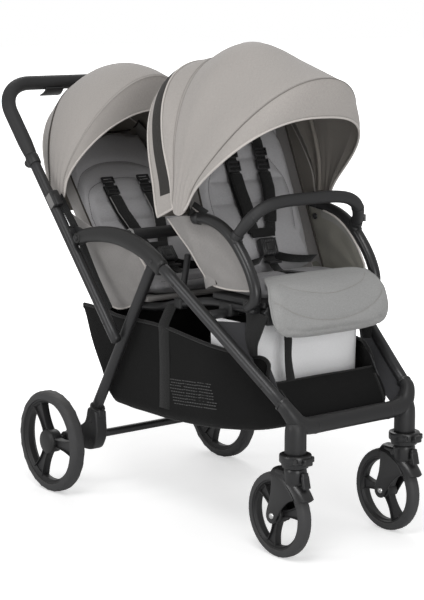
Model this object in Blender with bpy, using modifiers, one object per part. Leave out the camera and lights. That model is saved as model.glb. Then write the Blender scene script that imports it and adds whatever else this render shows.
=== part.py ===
# Tandem stroller: two seats one behind the other on a folding tube frame.
# Metres, +Z up. The child faces -Y and the child's left is +X.
# Heights are above the ground, and every y below is measured from the rear wheels' axis.

import math

import bmesh
import bpy
from mathutils import Vector

# Driving dimensions
REAR_AXLE_Y = 0.2613  # places the middle of the whole length at y = 0
REAR_WHEEL_R = 0.1173
REAR_WHEEL_W = 0.034
REAR_TRACK = 0.502
FRONT_WHEEL_R = 0.089
FRONT_WHEEL_W = 0.028
FRONT_TRACK = 0.303
FRONT_AXLE_Y = -0.696
CASTER_STEM_Y = -0.744
SWIVEL_LOCK_HINGE = (-0.7700, 0.1620)
TUBE_R = 0.0125
GAP = 0.0004  # between pieces that touch

# Frame points, as (y, z), and the half widths that go with them
ARMREST_X = 0.222
LEG_TOP = (0.2262, -0.4035, 0.5660)
LEG_FOOT = (0.1690, -0.7220, 0.3260)
REAR_LEG_X = 0.193
REAR_LEG_TOP = (-0.3310, 0.5790)
REAR_LEG_FOOT = (-0.0985, 0.2050)
REAR_LEG_PIVOT = (-0.3250, 0.5700)
CROSSBAR_PIN = (-0.0980, 0.1430)
BRAKE_PEDAL_X = 0.1300
HANDLE_X = 0.2225
HANDLE_FOOT = (-0.2225, 0.3850)
HANDLE_STEP = (0.1130, 0.7660)
HANDLE_BEND = (0.1900, 0.8534)
HANDLE_TOP = (0.2530, 0.9250)
HANDLE_PIVOT = (-0.0850, 0.5970)
FOLD_TRIGGER_HINGE = (0.2400, 0.9110)

# Seats: the foot of each backrest's front surface, its lean from upright and its length
FRONT_BACK_FOOT = (-0.4670, 0.5550)
FRONT_BACK_LEAN = math.radians(21)
FRONT_BACK_LENGTH = 0.400
REAR_BACK_FOOT = (-0.1000, 0.4900)
REAR_BACK_LEAN = math.radians(40)
REAR_BACK_LENGTH = 0.430
BACK_WIDTH = 0.300
BACK_THICK = 0.036
SIDE_GUARD_X = 0.165
BUMPER_FOOT = (-0.5760, 0.6535)
FOOTREST_PIVOT = (-0.6540, 0.5380)
FOOTREST_LENGTH = 0.108

# Canopies: the axis they swing on, how square their arches are, and for each line across the cloth its
# angle above forward, its reach from the axis and its half width. Seams are at the panels' edges.
CANOPY_WALL = 0.003
FRONT_CANOPY_AXIS = (-0.4210, 0.6920)
FRONT_CANOPY_SQUARENESS = 2.6
FRONT_VISOR = [(41.0, 0.295, 0.199), (44.0, 0.320, 0.198), (47.0, 0.345, 0.197), (49.5, 0.366, 0.197)]
FRONT_MIDDLE = [(49.5, 0.366, 0.197), (55.0, 0.350, 0.199), (62.0, 0.340, 0.201), (71.0, 0.339, 0.202),
                (80.0, 0.342, 0.202), (89.0, 0.335, 0.202)]
FRONT_BACK_PANEL = [(89.0, 0.335, 0.202), (98.0, 0.333, 0.202), (108.0, 0.326, 0.201), (118.0, 0.314, 0.200)]
CURTAIN_FOOT = (-0.3530, 0.6800)
CURTAIN_TOP = (-0.2680, 0.9250)
REAR_CANOPY_AXIS = (0.0480, 0.6640)
REAR_CANOPY_SQUARENESS = 1.9
REAR_VISOR = [(62.0, 0.236, 0.197), (64.0, 0.262, 0.197), (66.0, 0.290, 0.197), (67.5, 0.311, 0.197)]
REAR_MAIN = [(67.5, 0.311, 0.197), (80.0, 0.311, 0.198), (94.0, 0.311, 0.198), (108.0, 0.309, 0.198),
             (121.0, 0.305, 0.198), (132.0, 0.299, 0.197)]


for leftover in list(bpy.data.objects):
    bpy.data.objects.remove(leftover, do_unlink=True)
PARTS = bpy.data.collections.new("tandem_stroller")
bpy.context.scene.collection.children.link(PARTS)


def material(name, colour, roughness, metallic=0.0):
    made = bpy.data.materials.new(name)
    made.use_nodes = True
    shader = made.node_tree.nodes["Principled BSDF"]
    shader.inputs["Base Color"].default_value = (*colour, 1.0)
    shader.inputs["Roughness"].default_value = roughness
    shader.inputs["Metallic"].default_value = metallic
    return made


FRAME_PAINT = material("frame_paint", (0.035, 0.035, 0.037), 0.42, 0.5)
BLACK_PLASTIC = material("black_plastic", (0.028, 0.028, 0.029), 0.55)
TYRE_FOAM = material("tyre_foam", (0.045, 0.045, 0.046), 0.8)
GRIP_FOAM = material("grip_foam", (0.020, 0.020, 0.021), 0.75)
CANOPY_CLOTH = material("canopy_cloth", (0.40, 0.375, 0.355), 0.9)
SEAT_CLOTH = material("seat_cloth", (0.27, 0.265, 0.26), 0.9)
WING_CLOTH = material("wing_cloth", (0.30, 0.285, 0.27), 0.9)
BASKET_CLOTH = material("basket_cloth", (0.010, 0.010, 0.011), 0.85)
WEBBING = material("webbing", (0.012, 0.012, 0.013), 0.7)


def rig(name, y=0.0, z=0.0, x=0.0, parent=None):
    """An empty on a joint's axis. Its pieces hang under it."""
    empty = bpy.data.objects.new(name, None)
    PARTS.objects.link(empty)
    empty["axis_at"] = (x, y, z)
    if parent is None:
        empty.location = (x, y, z)
    else:
        empty.parent = parent
        empty.location = Vector((x, y, z)) - Vector(parent["axis_at"])
    return empty


def hang(obj, body, paint):
    """Puts a piece, made in axle coordinates, under its body."""
    obj.parent = body
    obj.location = Vector(obj.location) - Vector(body["axis_at"])
    obj.data.materials.clear()
    obj.data.materials.append(paint)
    if obj.type == "MESH":
        obj.data.shade_smooth()
        obj.data.set_sharp_from_angle(angle=math.radians(35))
    return obj


def new_mesh(name, build):
    """An object whose mesh is made by build(bm)."""
    bm = bmesh.new()
    build(bm)
    mesh = bpy.data.meshes.new(name)
    bm.to_mesh(mesh)
    bm.free()
    obj = bpy.data.objects.new(name, mesh)
    PARTS.objects.link(obj)
    return obj


def as_mesh(obj):
    """The evaluated object as a plain mesh object, with its caps welded."""
    bpy.context.view_layer.update()
    graph = bpy.context.evaluated_depsgraph_get()
    mesh = bpy.data.meshes.new_from_object(obj.evaluated_get(graph))
    bm = bmesh.new()
    bm.from_mesh(mesh)
    bmesh.ops.remove_doubles(bm, verts=bm.verts, dist=1e-6)
    bmesh.ops.transform(bm, matrix=obj.matrix_world, verts=bm.verts)
    bmesh.ops.recalc_face_normals(bm, faces=bm.faces)
    bm.to_mesh(mesh)
    bm.free()
    name = obj.name
    bpy.data.objects.remove(obj, do_unlink=True)
    made = bpy.data.objects.new(name, mesh)
    PARTS.objects.link(made)
    return made


def combine(base, others, operation="UNION"):
    """Joins the other pieces to base, or cuts them out of it, and leaves one plain mesh."""
    for other in others:
        modifier = base.modifiers.new(operation.lower(), "BOOLEAN")
        modifier.operation = operation
        modifier.object = other
    made = as_mesh(base)
    for other in others:
        bpy.data.objects.remove(other, do_unlink=True)
    return made


def tube(name, points, radius, sides=2, radii=None):
    """A round tube along points. Each side step adds four facets round it."""
    curve = bpy.data.curves.new(name, "CURVE")
    curve.dimensions = "3D"
    spline = curve.splines.new("POLY")
    spline.points.add(len(points) - 1)
    for i, (point, at) in enumerate(zip(spline.points, points)):
        point.co = (*at, 1.0)
        point.radius = radii[i] / radius if radii else 1.0
    curve.bevel_depth = radius
    curve.bevel_resolution = sides
    curve.use_fill_caps = True
    obj = bpy.data.objects.new(name, curve)
    PARTS.objects.link(obj)
    return obj


def smooth_path(points, steps):
    """Points along a Catmull-Rom curve through the given ones."""
    ends = [points[0], *points, points[-1]]
    found = []
    for a, b, c, d in zip(ends, ends[1:], ends[2:], ends[3:]):
        for i in range(steps):
            t = i / steps
            found.append(
                tuple(
                    0.5 * (2 * q + (r - p) * t + (2 * p - 5 * q + 4 * r - s) * t**2
                           + (3 * q - p - 3 * r + s) * t**3)
                    for p, q, r, s in zip(a, b, c, d)
                )
            )
    return [*found, tuple(points[-1])]


def plate(name, outline, x_low, x_high, bevel=0.0):
    """A flat plate with a (y, z) outline, between two x planes."""
    curve = bpy.data.curves.new(name, "CURVE")
    curve.dimensions = "2D"
    curve.fill_mode = "BOTH"
    curve.extrude = (x_high - x_low) / 2
    spline = curve.splines.new("POLY")
    spline.points.add(len(outline) - 1)
    for point, (y, z) in zip(spline.points, outline):
        point.co = (y, z, 0.0, 1.0)
    spline.use_cyclic_u = True
    obj = bpy.data.objects.new(name, curve)
    PARTS.objects.link(obj)
    obj.rotation_euler = (math.pi / 2, 0, math.pi / 2)
    obj.location = ((x_low + x_high) / 2, 0, 0)
    made = as_mesh(obj)
    if bevel:
        rounded(made, bevel)
    return made


def rounded(obj, width):
    modifier = obj.modifiers.new("rounded", "BEVEL")
    modifier.width = width
    modifier.segments = 1
    modifier.limit_method = "ANGLE"
    modifier.angle_limit = math.radians(50)
    return obj


def block(name, centre, size, turn=0.0, bevel=0.0):
    """A box, turned about the X axis through its centre."""
    def build(bm):
        bmesh.ops.create_cube(bm, size=1.0)
        bmesh.ops.scale(bm, vec=size, verts=bm.verts)
    obj = new_mesh(name, build)
    obj.location = centre
    obj.rotation_euler = (turn, 0, 0)
    made = as_mesh(obj)
    if bevel:
        rounded(made, bevel)
    return made


def cylinder(name, centre, radius, length, axis="Z", sides=20):
    def build(bm):
        bmesh.ops.create_cone(bm, cap_ends=True, segments=sides, radius1=radius, radius2=radius, depth=length)
    obj = new_mesh(name, build)
    obj.location = centre
    obj.rotation_euler = (0, math.pi / 2 if axis == "X" else 0, 0)
    return as_mesh(obj)


def turned(name, profile, centre, steps):
    """A ring turned about the X axis through centre. The profile holds (radius, x), outside first, and
    its facets stand flat on the ground."""
    half_step = math.pi / steps
    across, along = math.cos(half_step), math.sin(half_step)

    def build(bm):
        verts = [bm.verts.new((radius * across, radius * along, -x)) for radius, x in profile]
        for a, b in zip(verts, verts[1:] + verts[:1]):
            bm.edges.new((a, b))
    obj = new_mesh(name, build)
    screw = obj.modifiers.new("turned", "SCREW")
    screw.axis = "Z"
    screw.steps = steps
    screw.render_steps = steps
    screw.use_merge_vertices = True
    screw.merge_threshold = 1e-5
    obj.rotation_euler = (0, -math.pi / 2, 0)
    obj.location = centre
    return as_mesh(obj)


def arc(cy, cz, radius, start, end, count):
    """Points on an arc in the (y, z) plane. Angles in degrees, 0 towards the rear, 90 up."""
    found = []
    for i in range(count):
        a = math.radians(start + (end - start) * i / (count - 1))
        found.append((cy + radius * math.cos(a), cz + radius * math.sin(a)))
    return found


def sheet(name, rows, thickness, offset):
    """A cloth wall: a grid of points given row by row, made solid."""
    def build(bm):
        grid = [[bm.verts.new(p) for p in row] for row in rows]
        for a, b in zip(grid, grid[1:]):
            for p, q, r, s in zip(a, a[1:], b, b[1:]):
                bm.faces.new((p, q, s, r))
    obj = new_mesh(name, build)
    wall = obj.modifiers.new("wall", "SOLIDIFY")
    wall.thickness = thickness
    wall.offset = offset
    return as_mesh(obj)


def pad(name, origin, along, out, width, length, thick, crown, taper=0.0, channels=(), corner=0.35):
    """A sewn pad. It runs from origin along one direction, is crowned on its outer side and drawn in at
    its edges. Channels are sewn across it, given as shares of its length."""
    along, out = Vector(along).normalized(), Vector(out).normalized()
    side = Vector((1.0, 0.0, 0.0))
    columns, rows = 8, 14

    def build(bm):
        bmesh.ops.create_cube(bm, size=1.0)
        lengthwise = [e for e in bm.edges if abs(e.verts[0].co.y - e.verts[1].co.y) > 0.5]
        bmesh.ops.subdivide_edges(bm, edges=lengthwise, cuts=rows - 1, use_grid_fill=True)
        across = [e for e in bm.edges if abs(e.verts[0].co.x - e.verts[1].co.x) > 0.5]
        bmesh.ops.subdivide_edges(bm, edges=across, cuts=columns - 1, use_grid_fill=True)
        for vert in bm.verts:
            u, v, w = vert.co.x * 2, vert.co.y + 0.5, vert.co.z * 2
            reach = 2 * v - 1
            # the outline's corners are drawn in to a superellipse
            pull = max(abs(u), abs(reach))
            if pull > 0:
                curve = (abs(u) ** 4 + abs(reach) ** 4) ** 0.25
                blend = 1 - corner + corner * pull / curve
                u, reach = u * blend, reach * blend
            edge = (1 - abs(u) ** 4) * (1 - abs(reach) ** 6)
            height = thick / 2 * w * (0.45 + 0.55 * max(edge, 0.0))
            if w > 0:
                height += crown * max(edge, 0.0)
                for at in channels:
                    height -= 0.35 * crown * math.exp(-(((v - at) * length / 0.012) ** 2))
            wide = width / 2 * (1 - taper * v)
            vert.co = (
                Vector(origin) + side * (u * wide) + along * ((reach + 1) / 2 * length) + out * height
            )
        bm.normal_update()
        bmesh.ops.recalc_face_normals(bm, faces=bm.faces)

    return new_mesh(name, build)


def leaning(foot, lean, along, off=0.0):
    """A (y, z) point on a backrest: along its front surface, and off it towards the front."""
    y = foot[0] + along * math.sin(lean) - off * math.cos(lean)
    z = foot[1] + along * math.cos(lean) + off * math.sin(lean)
    return y, z


def mirrored(make):
    """Makes a piece for each side: make(side name, sign of x)."""
    for side, sign in (("left", 1), ("right", -1)):
        make(side, sign)


# The bodies, each on its joint's axis
STROLLER = bpy.data.objects.new("stroller", None)
PARTS.objects.link(STROLLER)
STROLLER["axis_at"] = (0.0, 0.0, 0.0)
STROLLER.location = (0.0, REAR_AXLE_Y, 0.0)
CHASSIS = rig("chassis", parent=STROLLER)
REAR_LEGS = rig("rear_legs", *REAR_LEG_PIVOT, parent=CHASSIS)
HANDLE = rig("handle_frame", *HANDLE_PIVOT, parent=CHASSIS)
FRONT_BACK = rig("front_backrest", *leaning(FRONT_BACK_FOOT, FRONT_BACK_LEAN, 0, -0.02), parent=CHASSIS)
REAR_BACK = rig("rear_backrest", *leaning(REAR_BACK_FOOT, REAR_BACK_LEAN, 0, -0.02), parent=CHASSIS)


def legs():
    def leg(side, sign):
        top, foot = Vector(LEG_TOP), Vector(LEG_FOOT)
        path = [(sign * p.x, p.y, p.z) for p in (top, foot)]
        hang(tube(f"front_leg_{side}", path, TUBE_R, 3), CHASSIS, FRAME_PAINT)
    mirrored(leg)


def crossbar():
    """The moulded bar across the front, whose ends take the legs and whose sockets take the casters."""
    direction = (Vector(LEG_TOP) - Vector(LEG_FOOT)).normalized()
    start = Vector(LEG_FOOT) - direction * GAP
    corner = start - direction * 0.018
    right = [(-start.x, start.y, start.z), (-corner.x, corner.y, corner.z), (-0.152, -0.7440, 0.2900),
             (-0.122, -0.7420, 0.2785), (-0.080, -0.7400, 0.2770), (0.0, -0.7390, 0.2765)]
    half = [right[0]] + smooth_path(right[1:], 4)
    path = half + [(-x, y, z) for x, y, z in reversed(half[:-1])]
    radii = []
    for x, _, z in path:
        wide = min(max((0.326 - z) / 0.05, 0.0), 1.0)
        radii.append(0.0150 + 0.0040 * wide)
    bar = as_mesh(tube("front_crossbar", path, 0.019, 3, radii))
    sockets = [
        cylinder(f"socket_{side}", (sign * FRONT_TRACK / 2, CASTER_STEM_Y, 0.2515), 0.0212, 0.058)
        for side, sign in (("left", 1), ("right", -1))
    ]
    hang(combine(bar, sockets), CHASSIS, BLACK_PLASTIC)


def collars():
    def collar(side, sign):
        x = sign * FRONT_TRACK / 2
        profile = [(0.0255, 0.0), (0.0325, 0.002), (0.0325, 0.020), (0.0265, 0.0235), (0.010, 0.0235),
                   (0.010, 0.0)]
        ring = turned(f"caster_collar_{side}", profile, (0, 0, 0), 24)
        ring.rotation_euler = (0, -math.pi / 2, 0)  # its axis now stands upright
        ring.location = (x, CASTER_STEM_Y, 0.1985)
        ring = as_mesh(ring)
        tab = block("tab", (x, CASTER_STEM_Y - 0.0350, 0.2110), (0.022, 0.014, 0.015), bevel=0.002)
        hang(combine(ring, [as_mesh(tab)]), CHASSIS, BLACK_PLASTIC)
    mirrored(collar)


def armrests():
    def armrest(side, sign):
        line = [(-0.0850, 0.5970), (-0.120, 0.6070), (-0.180, 0.6150), (-0.240, 0.6150),
                (-0.300, 0.6050), (-0.350, 0.5880), (-0.3905, 0.5660)]
        path = smooth_path([(0.0, y, z) for y, z in line], 3)
        radii = [0.0145 + 0.0050 * math.sin(min(i / (len(path) - 1) * 1.35, 1.0) * math.pi / 2)
                 for i in range(len(path))]
        arm = tube(f"armrest_{side}", path, 0.019, 3, radii)
        arm.scale = (0.68, 1, 1)
        arm = as_mesh(arm)
        arm.location = (sign * ARMREST_X, 0, 0)
        arm = as_mesh(arm)
        eye = cylinder("eye", (sign * ARMREST_X, -0.0850, 0.5970), 0.0150, 0.024, "X", 20)
        inner, outer = sorted((sign * (REAR_LEG_X + TUBE_R + GAP), sign * (ARMREST_X - 0.002)))
        ear = arc(*REAR_LEG_PIVOT, 0.0120, 180, 360, 9) + [(-0.310, 0.6050), (-0.340, 0.5970)]
        lug = plate("lug", ear, inner, outer)
        hang(combine(arm, [eye, lug]), CHASSIS, BLACK_PLASTIC)
    mirrored(armrest)


def seat_frame():
    """Two rails under both seats, and the cross tubes that carry them from the front legs."""
    line = [(-0.6400, 0.4945), (-0.4650, 0.4945), (-0.2500, 0.4540), (-0.0900, 0.4456)]
    rails = [as_mesh(tube("rail", [(x, y, z) for y, z in line], 0.009, 2)) for x in (0.138, -0.138)]
    front = as_mesh(tube("seat_frame", [(-0.1922, -0.5130, 0.4791), (0.1922, -0.5130, 0.4791)], 0.010, 2))
    rear = as_mesh(tube("cross", [(-0.138, -0.1800, 0.4451), (0.138, -0.1800, 0.4451)], 0.008, 2))
    hang(combine(front, [*rails, rear]), CHASSIS, FRAME_PAINT)


def side_guards():
    """The bent tubes beside the front seat, which the bumper bar is fixed to."""
    line = [(-0.438, 0.6720), (-0.478, 0.6730), (-0.520, 0.6630), (-0.558, 0.6420), (-0.592, 0.6100),
            (-0.618, 0.5750), (-0.632, 0.5420), (-0.629, 0.5200), (-0.612, 0.5060)]

    def guard(side, sign):
        path = smooth_path([(sign * SIDE_GUARD_X, y, z) for y, z in line], 2)
        hang(tube(f"front_side_guard_{side}", path, 0.0120, 2), CHASSIS, FRAME_PAINT)
    mirrored(guard)


def seat_pans():
    front = block("front_seat_pan", (0, -0.5540, 0.5110), (0.296, 0.172, 0.014), 0, 0.004)
    hang(front, CHASSIS, BLACK_PLASTIC)
    rear = block("rear_seat_pan", (0, -0.1650, 0.4650), (0.300, 0.150, 0.012), math.radians(-3), 0.004)
    hang(rear, CHASSIS, BLACK_PLASTIC)


def seat_cushions():
    front = pad("front_seat_cushion", (0, -0.4740, 0.5320), (0, -1, 0), (0, 0, 1), 0.292, 0.168, 0.025,
                0.006, channels=(0.82,))
    hang(front, CHASSIS, SEAT_CLOTH)
    rear = pad("rear_seat_cushion", (0, -0.1020, 0.4835), (0, -1, 0.06), (0, 0, 1), 0.292, 0.150, 0.022,
               0.006, channels=(0.8,))
    hang(rear, CHASSIS, SEAT_CLOTH)


def wings():
    """The cloth panels that close the sides of each seat, from the cushion up to the canopy's axis."""
    front_low = [(-0.470, 0.5300), (-0.520, 0.5280), (-0.570, 0.5280), (-0.615, 0.5320)]
    front_high = [(-0.402, 0.6620), (-0.452, 0.6560), (-0.515, 0.6360), (-0.614, 0.5640)]
    rear_low = [(-0.105, 0.4800), (-0.145, 0.4740), (-0.185, 0.4760), (-0.225, 0.4820)]
    rear_high = [(-0.002, 0.5860), (-0.060, 0.5800), (-0.130, 0.5660), (-0.222, 0.5300)]

    def panel(name, low, high, x, sign, body):
        rows = []
        for i in range(6):
            t = i / 5
            swell = 0.005 * math.sin(math.pi * t)
            rows.append([
                (sign * (x + swell), a[0] + (b[0] - a[0]) * t, a[1] + (b[1] - a[1]) * t)
                for a, b in zip(low, high)
            ])
        wall = sheet(name, rows, 0.004, 0.0)
        hang(wall, body, WING_CLOTH)

    def both(side, sign):
        panel(f"front_wing_{side}", front_low, front_high, 0.1495, sign, CHASSIS)
        panel(f"rear_wing_{side}", rear_low, rear_high, 0.1560, sign, CHASSIS)
    mirrored(both)


def grab_bar():
    path = [(-0.2085, -0.2050, 0.6120), (0.2085, -0.2050, 0.6120)]
    hang(tube("rear_grab_bar", path, 0.0105, 3), CHASSIS, BLACK_PLASTIC)


def basket():
    """An open tub of cloth. Each line across it runs from a side's top edge down under the floor and up
    again, from the rear flap to the front panel, which slopes back up to its lip."""
    lines = [((-0.0200, 0.4230), (-0.0200, 0.4320)), ((-0.0480, 0.3450), (-0.0480, 0.4320)),
             ((-0.0900, 0.2760), (-0.0900, 0.4300)), ((-0.1200, 0.2260), (-0.1200, 0.4280)),
             ((-0.1700, 0.2200), (-0.1700, 0.4240)), ((-0.3200, 0.2200), (-0.3200, 0.4230)),
             ((-0.4600, 0.2280), (-0.4600, 0.4100)), ((-0.6000, 0.2450), (-0.5900, 0.4060)),
             ((-0.6850, 0.2680), (-0.6250, 0.4020)), ((-0.7080, 0.2820), (-0.6400, 0.3920)),
             ((-0.6900, 0.3150), (-0.6460, 0.3800)), ((-0.6560, 0.3500), (-0.6480, 0.3660))]
    rows = []
    for (low_y, low_z), (high_y, high_z) in lines:
        half = 0.170 - 0.16 * max(-0.5 - low_y, 0.0)
        corner = min(0.022, (high_z - low_z) * 0.5)
        share = corner / (high_z - low_z)
        side = []
        for t in (1.0, (1.0 + share) / 2, share):
            side.append((half, low_y + (high_y - low_y) * t, low_z + (high_z - low_z) * t))
        floor = [(half - corner, low_y, low_z), (half / 2, low_y, low_z)]
        right = side + floor
        rows.append([(-x, y, z) for x, y, z in right] + [(0.0, low_y, low_z)] + right[::-1])
    hang(sheet("basket", rows, 0.003, 1.0), CHASSIS, BASKET_CLOTH)


def rear_legs():
    def leg(side, sign):
        x = sign * REAR_LEG_X
        path = [(x, *REAR_LEG_TOP), (x, *REAR_LEG_FOOT)]
        hang(tube(f"rear_leg_{side}", path, TUBE_R, 3), REAR_LEGS, FRAME_PAINT)
        outline = [(-0.1180, 0.1960), (-0.0850, 0.2050), (-0.0700, 0.1700), (-0.0150, 0.1420),
                   (0.0130, 0.1310), (0.0160, 0.1100), (0.0020, 0.1000), (-0.0500, 0.1060),
                   (-0.0980, 0.1120), (-0.1150, 0.1300), (-0.1200, 0.1550), (-0.1080, 0.1640)]
        bracket = plate(f"axle_bracket_{side}", outline, x - 0.0150, x + 0.0150, 0.002)
        stub = cylinder("stub", (sign * 0.2240, 0, REAR_WHEEL_R), 0.0060, 0.040, "X", 16)
        sleeve = tube("sleeve", [(x, -0.0990, 0.2040), (x, -0.0850, 0.1815)], 0.0150, 2)
        made = combine(as_mesh(bracket), [stub, as_mesh(sleeve)])
        cut = tube("cut", [(x, -0.1048, 0.2151), (x, REAR_LEG_FOOT[0] + 0.0002, REAR_LEG_FOOT[1] - 0.0004)],
                   TUBE_R + GAP, 2)
        made = combine(made, [as_mesh(cut)], "DIFFERENCE")
        hang(made, REAR_LEGS, BLACK_PLASTIC)
    mirrored(leg)
    reach = REAR_LEG_X - 0.0150 - GAP
    bar = tube("rear_axle_bar", [(-reach, *CROSSBAR_PIN), (reach, *CROSSBAR_PIN)], 0.0090, 2)
    hang(bar, REAR_LEGS, FRAME_PAINT)


def brake():
    pedal_body = rig("brake_pedal_hinge", *CROSSBAR_PIN, parent=REAR_LEGS)
    clamp_low, clamp_high = 0.0094, 0.0135
    half = 0.022
    ring = [(clamp_high, -half), (clamp_high, half), (clamp_low, half), (clamp_low, -half)]
    pedal = turned("brake_pedal", ring, (BRAKE_PEDAL_X, *CROSSBAR_PIN), 16)
    foot = [(-0.0860, 0.1500), (-0.0300, 0.1600), (-0.0260, 0.1530), (-0.0860, 0.1420)]
    tread = plate("tread", foot, BRAKE_PEDAL_X - half, BRAKE_PEDAL_X + half)
    hang(combine(pedal, [tread]), pedal_body, BLACK_PLASTIC)


def wheel(name, centre, radius, width, body, rim_share, hub):
    """A tyre and a rim with three windows, on a body whose origin is on the wheel's axis."""
    steps = 32
    tread = radius / math.cos(math.pi / steps)
    inner = radius * rim_share
    half = width / 2
    tyre = [(inner + GAP, -half * 0.72), (inner + GAP + 0.004, -half), (tread - 0.009, -half),
            (tread - 0.002, -half * 0.72), (tread, -half * 0.40), (tread, half * 0.40),
            (tread - 0.002, half * 0.72), (tread - 0.009, half), (inner + GAP + 0.004, half),
            (inner + GAP, half * 0.72)]
    hang(turned(f"{name}_tyre", tyre[::-1], centre, steps), body, TYRE_FOAM)
    web = half * 0.34
    bore = 0.0064 if hub > 0.02 else 0.0040
    rim = [(inner, -half * 0.72), (inner - 0.010, -half * 0.72), (inner - 0.012, -web),
           (hub + 0.004, -web), (hub, -half * 0.75), (bore, -half * 0.75), (bore, half * 0.75),
           (hub, half * 0.75), (hub + 0.004, web), (inner - 0.012, web), (inner - 0.010, half * 0.72),
           (inner, half * 0.72)]
    disc = turned(f"{name}_rim", rim, centre, steps)
    cutters = []
    cy, cz = centre[1], centre[2]
    for i in range(3):
        start, end = 120 * i + 22, 120 * i + 98
        outer = arc(cy, cz, inner - 0.014, start, end, 7)
        middle = 120 * i + 60
        low = arc(cy, cz, hub + 0.010, middle + 14, middle - 14, 3)
        cutters.append(plate("window", outer + low, centre[0] - width, centre[0] + width))
    hang(combine(disc, cutters, "DIFFERENCE"), body, BLACK_PLASTIC)


def rear_wheels():
    def one(side, sign):
        centre = (sign * REAR_TRACK / 2, 0.0, REAR_WHEEL_R)
        body = rig(f"rear_wheel_{side}", centre[1], centre[2], centre[0], parent=REAR_LEGS)
        wheel(f"rear_{side}", centre, REAR_WHEEL_R, REAR_WHEEL_W, body, 0.855, 0.0225)
    mirrored(one)


def casters():
    def one(side, sign):
        x = sign * FRONT_TRACK / 2
        body = rig(f"caster_{side}", CASTER_STEM_Y, 0.15, x, parent=CHASSIS)
        y, z = FRONT_AXLE_Y, FRONT_WHEEL_R
        side_outline = [(y + 0.013, z - 0.008), (y + 0.016, z + 0.004), (y + 0.004, z + 0.055),
                        (y - 0.004, 0.1840), (-0.7700, 0.1840), (-0.7850, 0.1560), (-0.7550, 0.1420),
                        (-0.7360, 0.1180), (y - 0.016, z - 0.010), (y, z - 0.016)]
        inner = FRONT_WHEEL_W / 2 + 0.0025
        plates = [
            plate("cheek", side_outline, x + low, x + low + 0.005)
            for low in (inner, -inner - 0.005)
        ]
        outer = arc(y, z, 0.1010, 78, 146, 8)
        under = arc(y, z, 0.0950, 146, 78, 8)
        lip = [(-0.7920, 0.1480)]
        fender = plate("fender", outer + lip + under, x - inner - 0.001, x + inner + 0.001)
        head = cylinder("head", (x, CASTER_STEM_Y, 0.1865), 0.0235, 0.023, "Z", 20)
        stem = cylinder("stem", (x, CASTER_STEM_Y, 0.2055), 0.0085, 0.030, "Z", 12)
        pin = cylinder("pin", (x, y, z), 0.0034, 2 * inner + 0.016, "X", 10)
        fork = plates[0]
        fork.name = f"caster_fork_{side}"
        hang(combine(fork, [plates[1], fender, head, stem, pin]), body, BLACK_PLASTIC)
        lock_body = rig(f"swivel_lock_{side}_hinge", *SWIVEL_LOCK_HINGE, x, parent=body)
        lever = block(f"swivel_lock_{side}", (x, -0.7760, 0.1755), (0.017, 0.007, 0.030),
                      math.radians(14), 0.0015)
        hang(lever, lock_body, BLACK_PLASTIC)
        spin = rig(f"front_wheel_{side}", y, z, x, parent=body)
        wheel(f"front_{side}", (x, y, z), FRONT_WHEEL_R, FRONT_WHEEL_W, spin, 0.83, 0.0150)
    mirrored(one)


def handle():
    def upright(side, sign):
        x = sign * HANDLE_X
        line = Vector((0, HANDLE_STEP[0] - HANDLE_FOOT[0], HANDLE_STEP[1] - HANDLE_FOOT[1])).normalized()
        foot = Vector((x, *HANDLE_FOOT))
        step = Vector((x, *HANDLE_STEP))
        path = [foot, step - line * 0.022, step - line * 0.020, step]
        post = as_mesh(tube(f"handle_upright_{side}", path, 0.0150, 3, [TUBE_R, TUBE_R, 0.0150, 0.0150]))
        inner, outer = sorted((sign * 0.2044, sign * 0.2084))
        link = plate("link", [(-0.0970, 0.5900), (-0.0900, 0.6080), (-0.0400, 0.6180), (-0.0220, 0.5960),
                              (-0.0500, 0.5750), (-0.0850, 0.5840)], inner, outer)
        clamp_low, clamp_high = sorted((sign * 0.2060, sign * 0.2225))
        clamp = plate("clamp", [(-0.0520, 0.5880), (-0.0420, 0.6120), (-0.0220, 0.6160), (-0.0300, 0.5860)],
                      clamp_low, clamp_high)
        hang(combine(post, [link, clamp]), HANDLE, FRAME_PAINT)
    mirrored(upright)
    line = Vector((0, HANDLE_TOP[0] - HANDLE_BEND[0], HANDLE_TOP[1] - HANDLE_BEND[1])).normalized()
    half = [(-HANDLE_X, HANDLE_STEP[0] + line.y * GAP * 2, HANDLE_STEP[1] + line.z * GAP * 2),
            (-HANDLE_X, *HANDLE_BEND)]
    radius = 0.085
    centre = Vector((-HANDLE_X + radius, HANDLE_TOP[0], HANDLE_TOP[1])) - line * radius
    for i in range(1, 7):
        a = math.radians(90 * i / 6)
        half.append(tuple(centre + Vector((-radius * math.cos(a), 0, 0)) + line * (radius * math.sin(a))))
    path = half + [(-x, y, z) for x, y, z in reversed(half)]
    radii = [0.0140, 0.0165] + [0.0168] * (len(path) - 4) + [0.0165, 0.0140]
    hang(tube("handle_grip", path, 0.0168, 3, radii), HANDLE, GRIP_FOAM)
    trigger_body = rig("fold_trigger_hinge", *FOLD_TRIGGER_HINGE, parent=HANDLE)
    outline = [(0.2380, 0.9137), (0.2375, 0.9092), (0.2510, 0.8957), (0.2670, 0.8922), (0.2680, 0.8972),
               (0.2530, 0.9017), (0.2435, 0.9097)]
    trigger = plate("fold_trigger", outline, -0.098, -0.048)
    hang(trigger, trigger_body, BLACK_PLASTIC)


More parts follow.
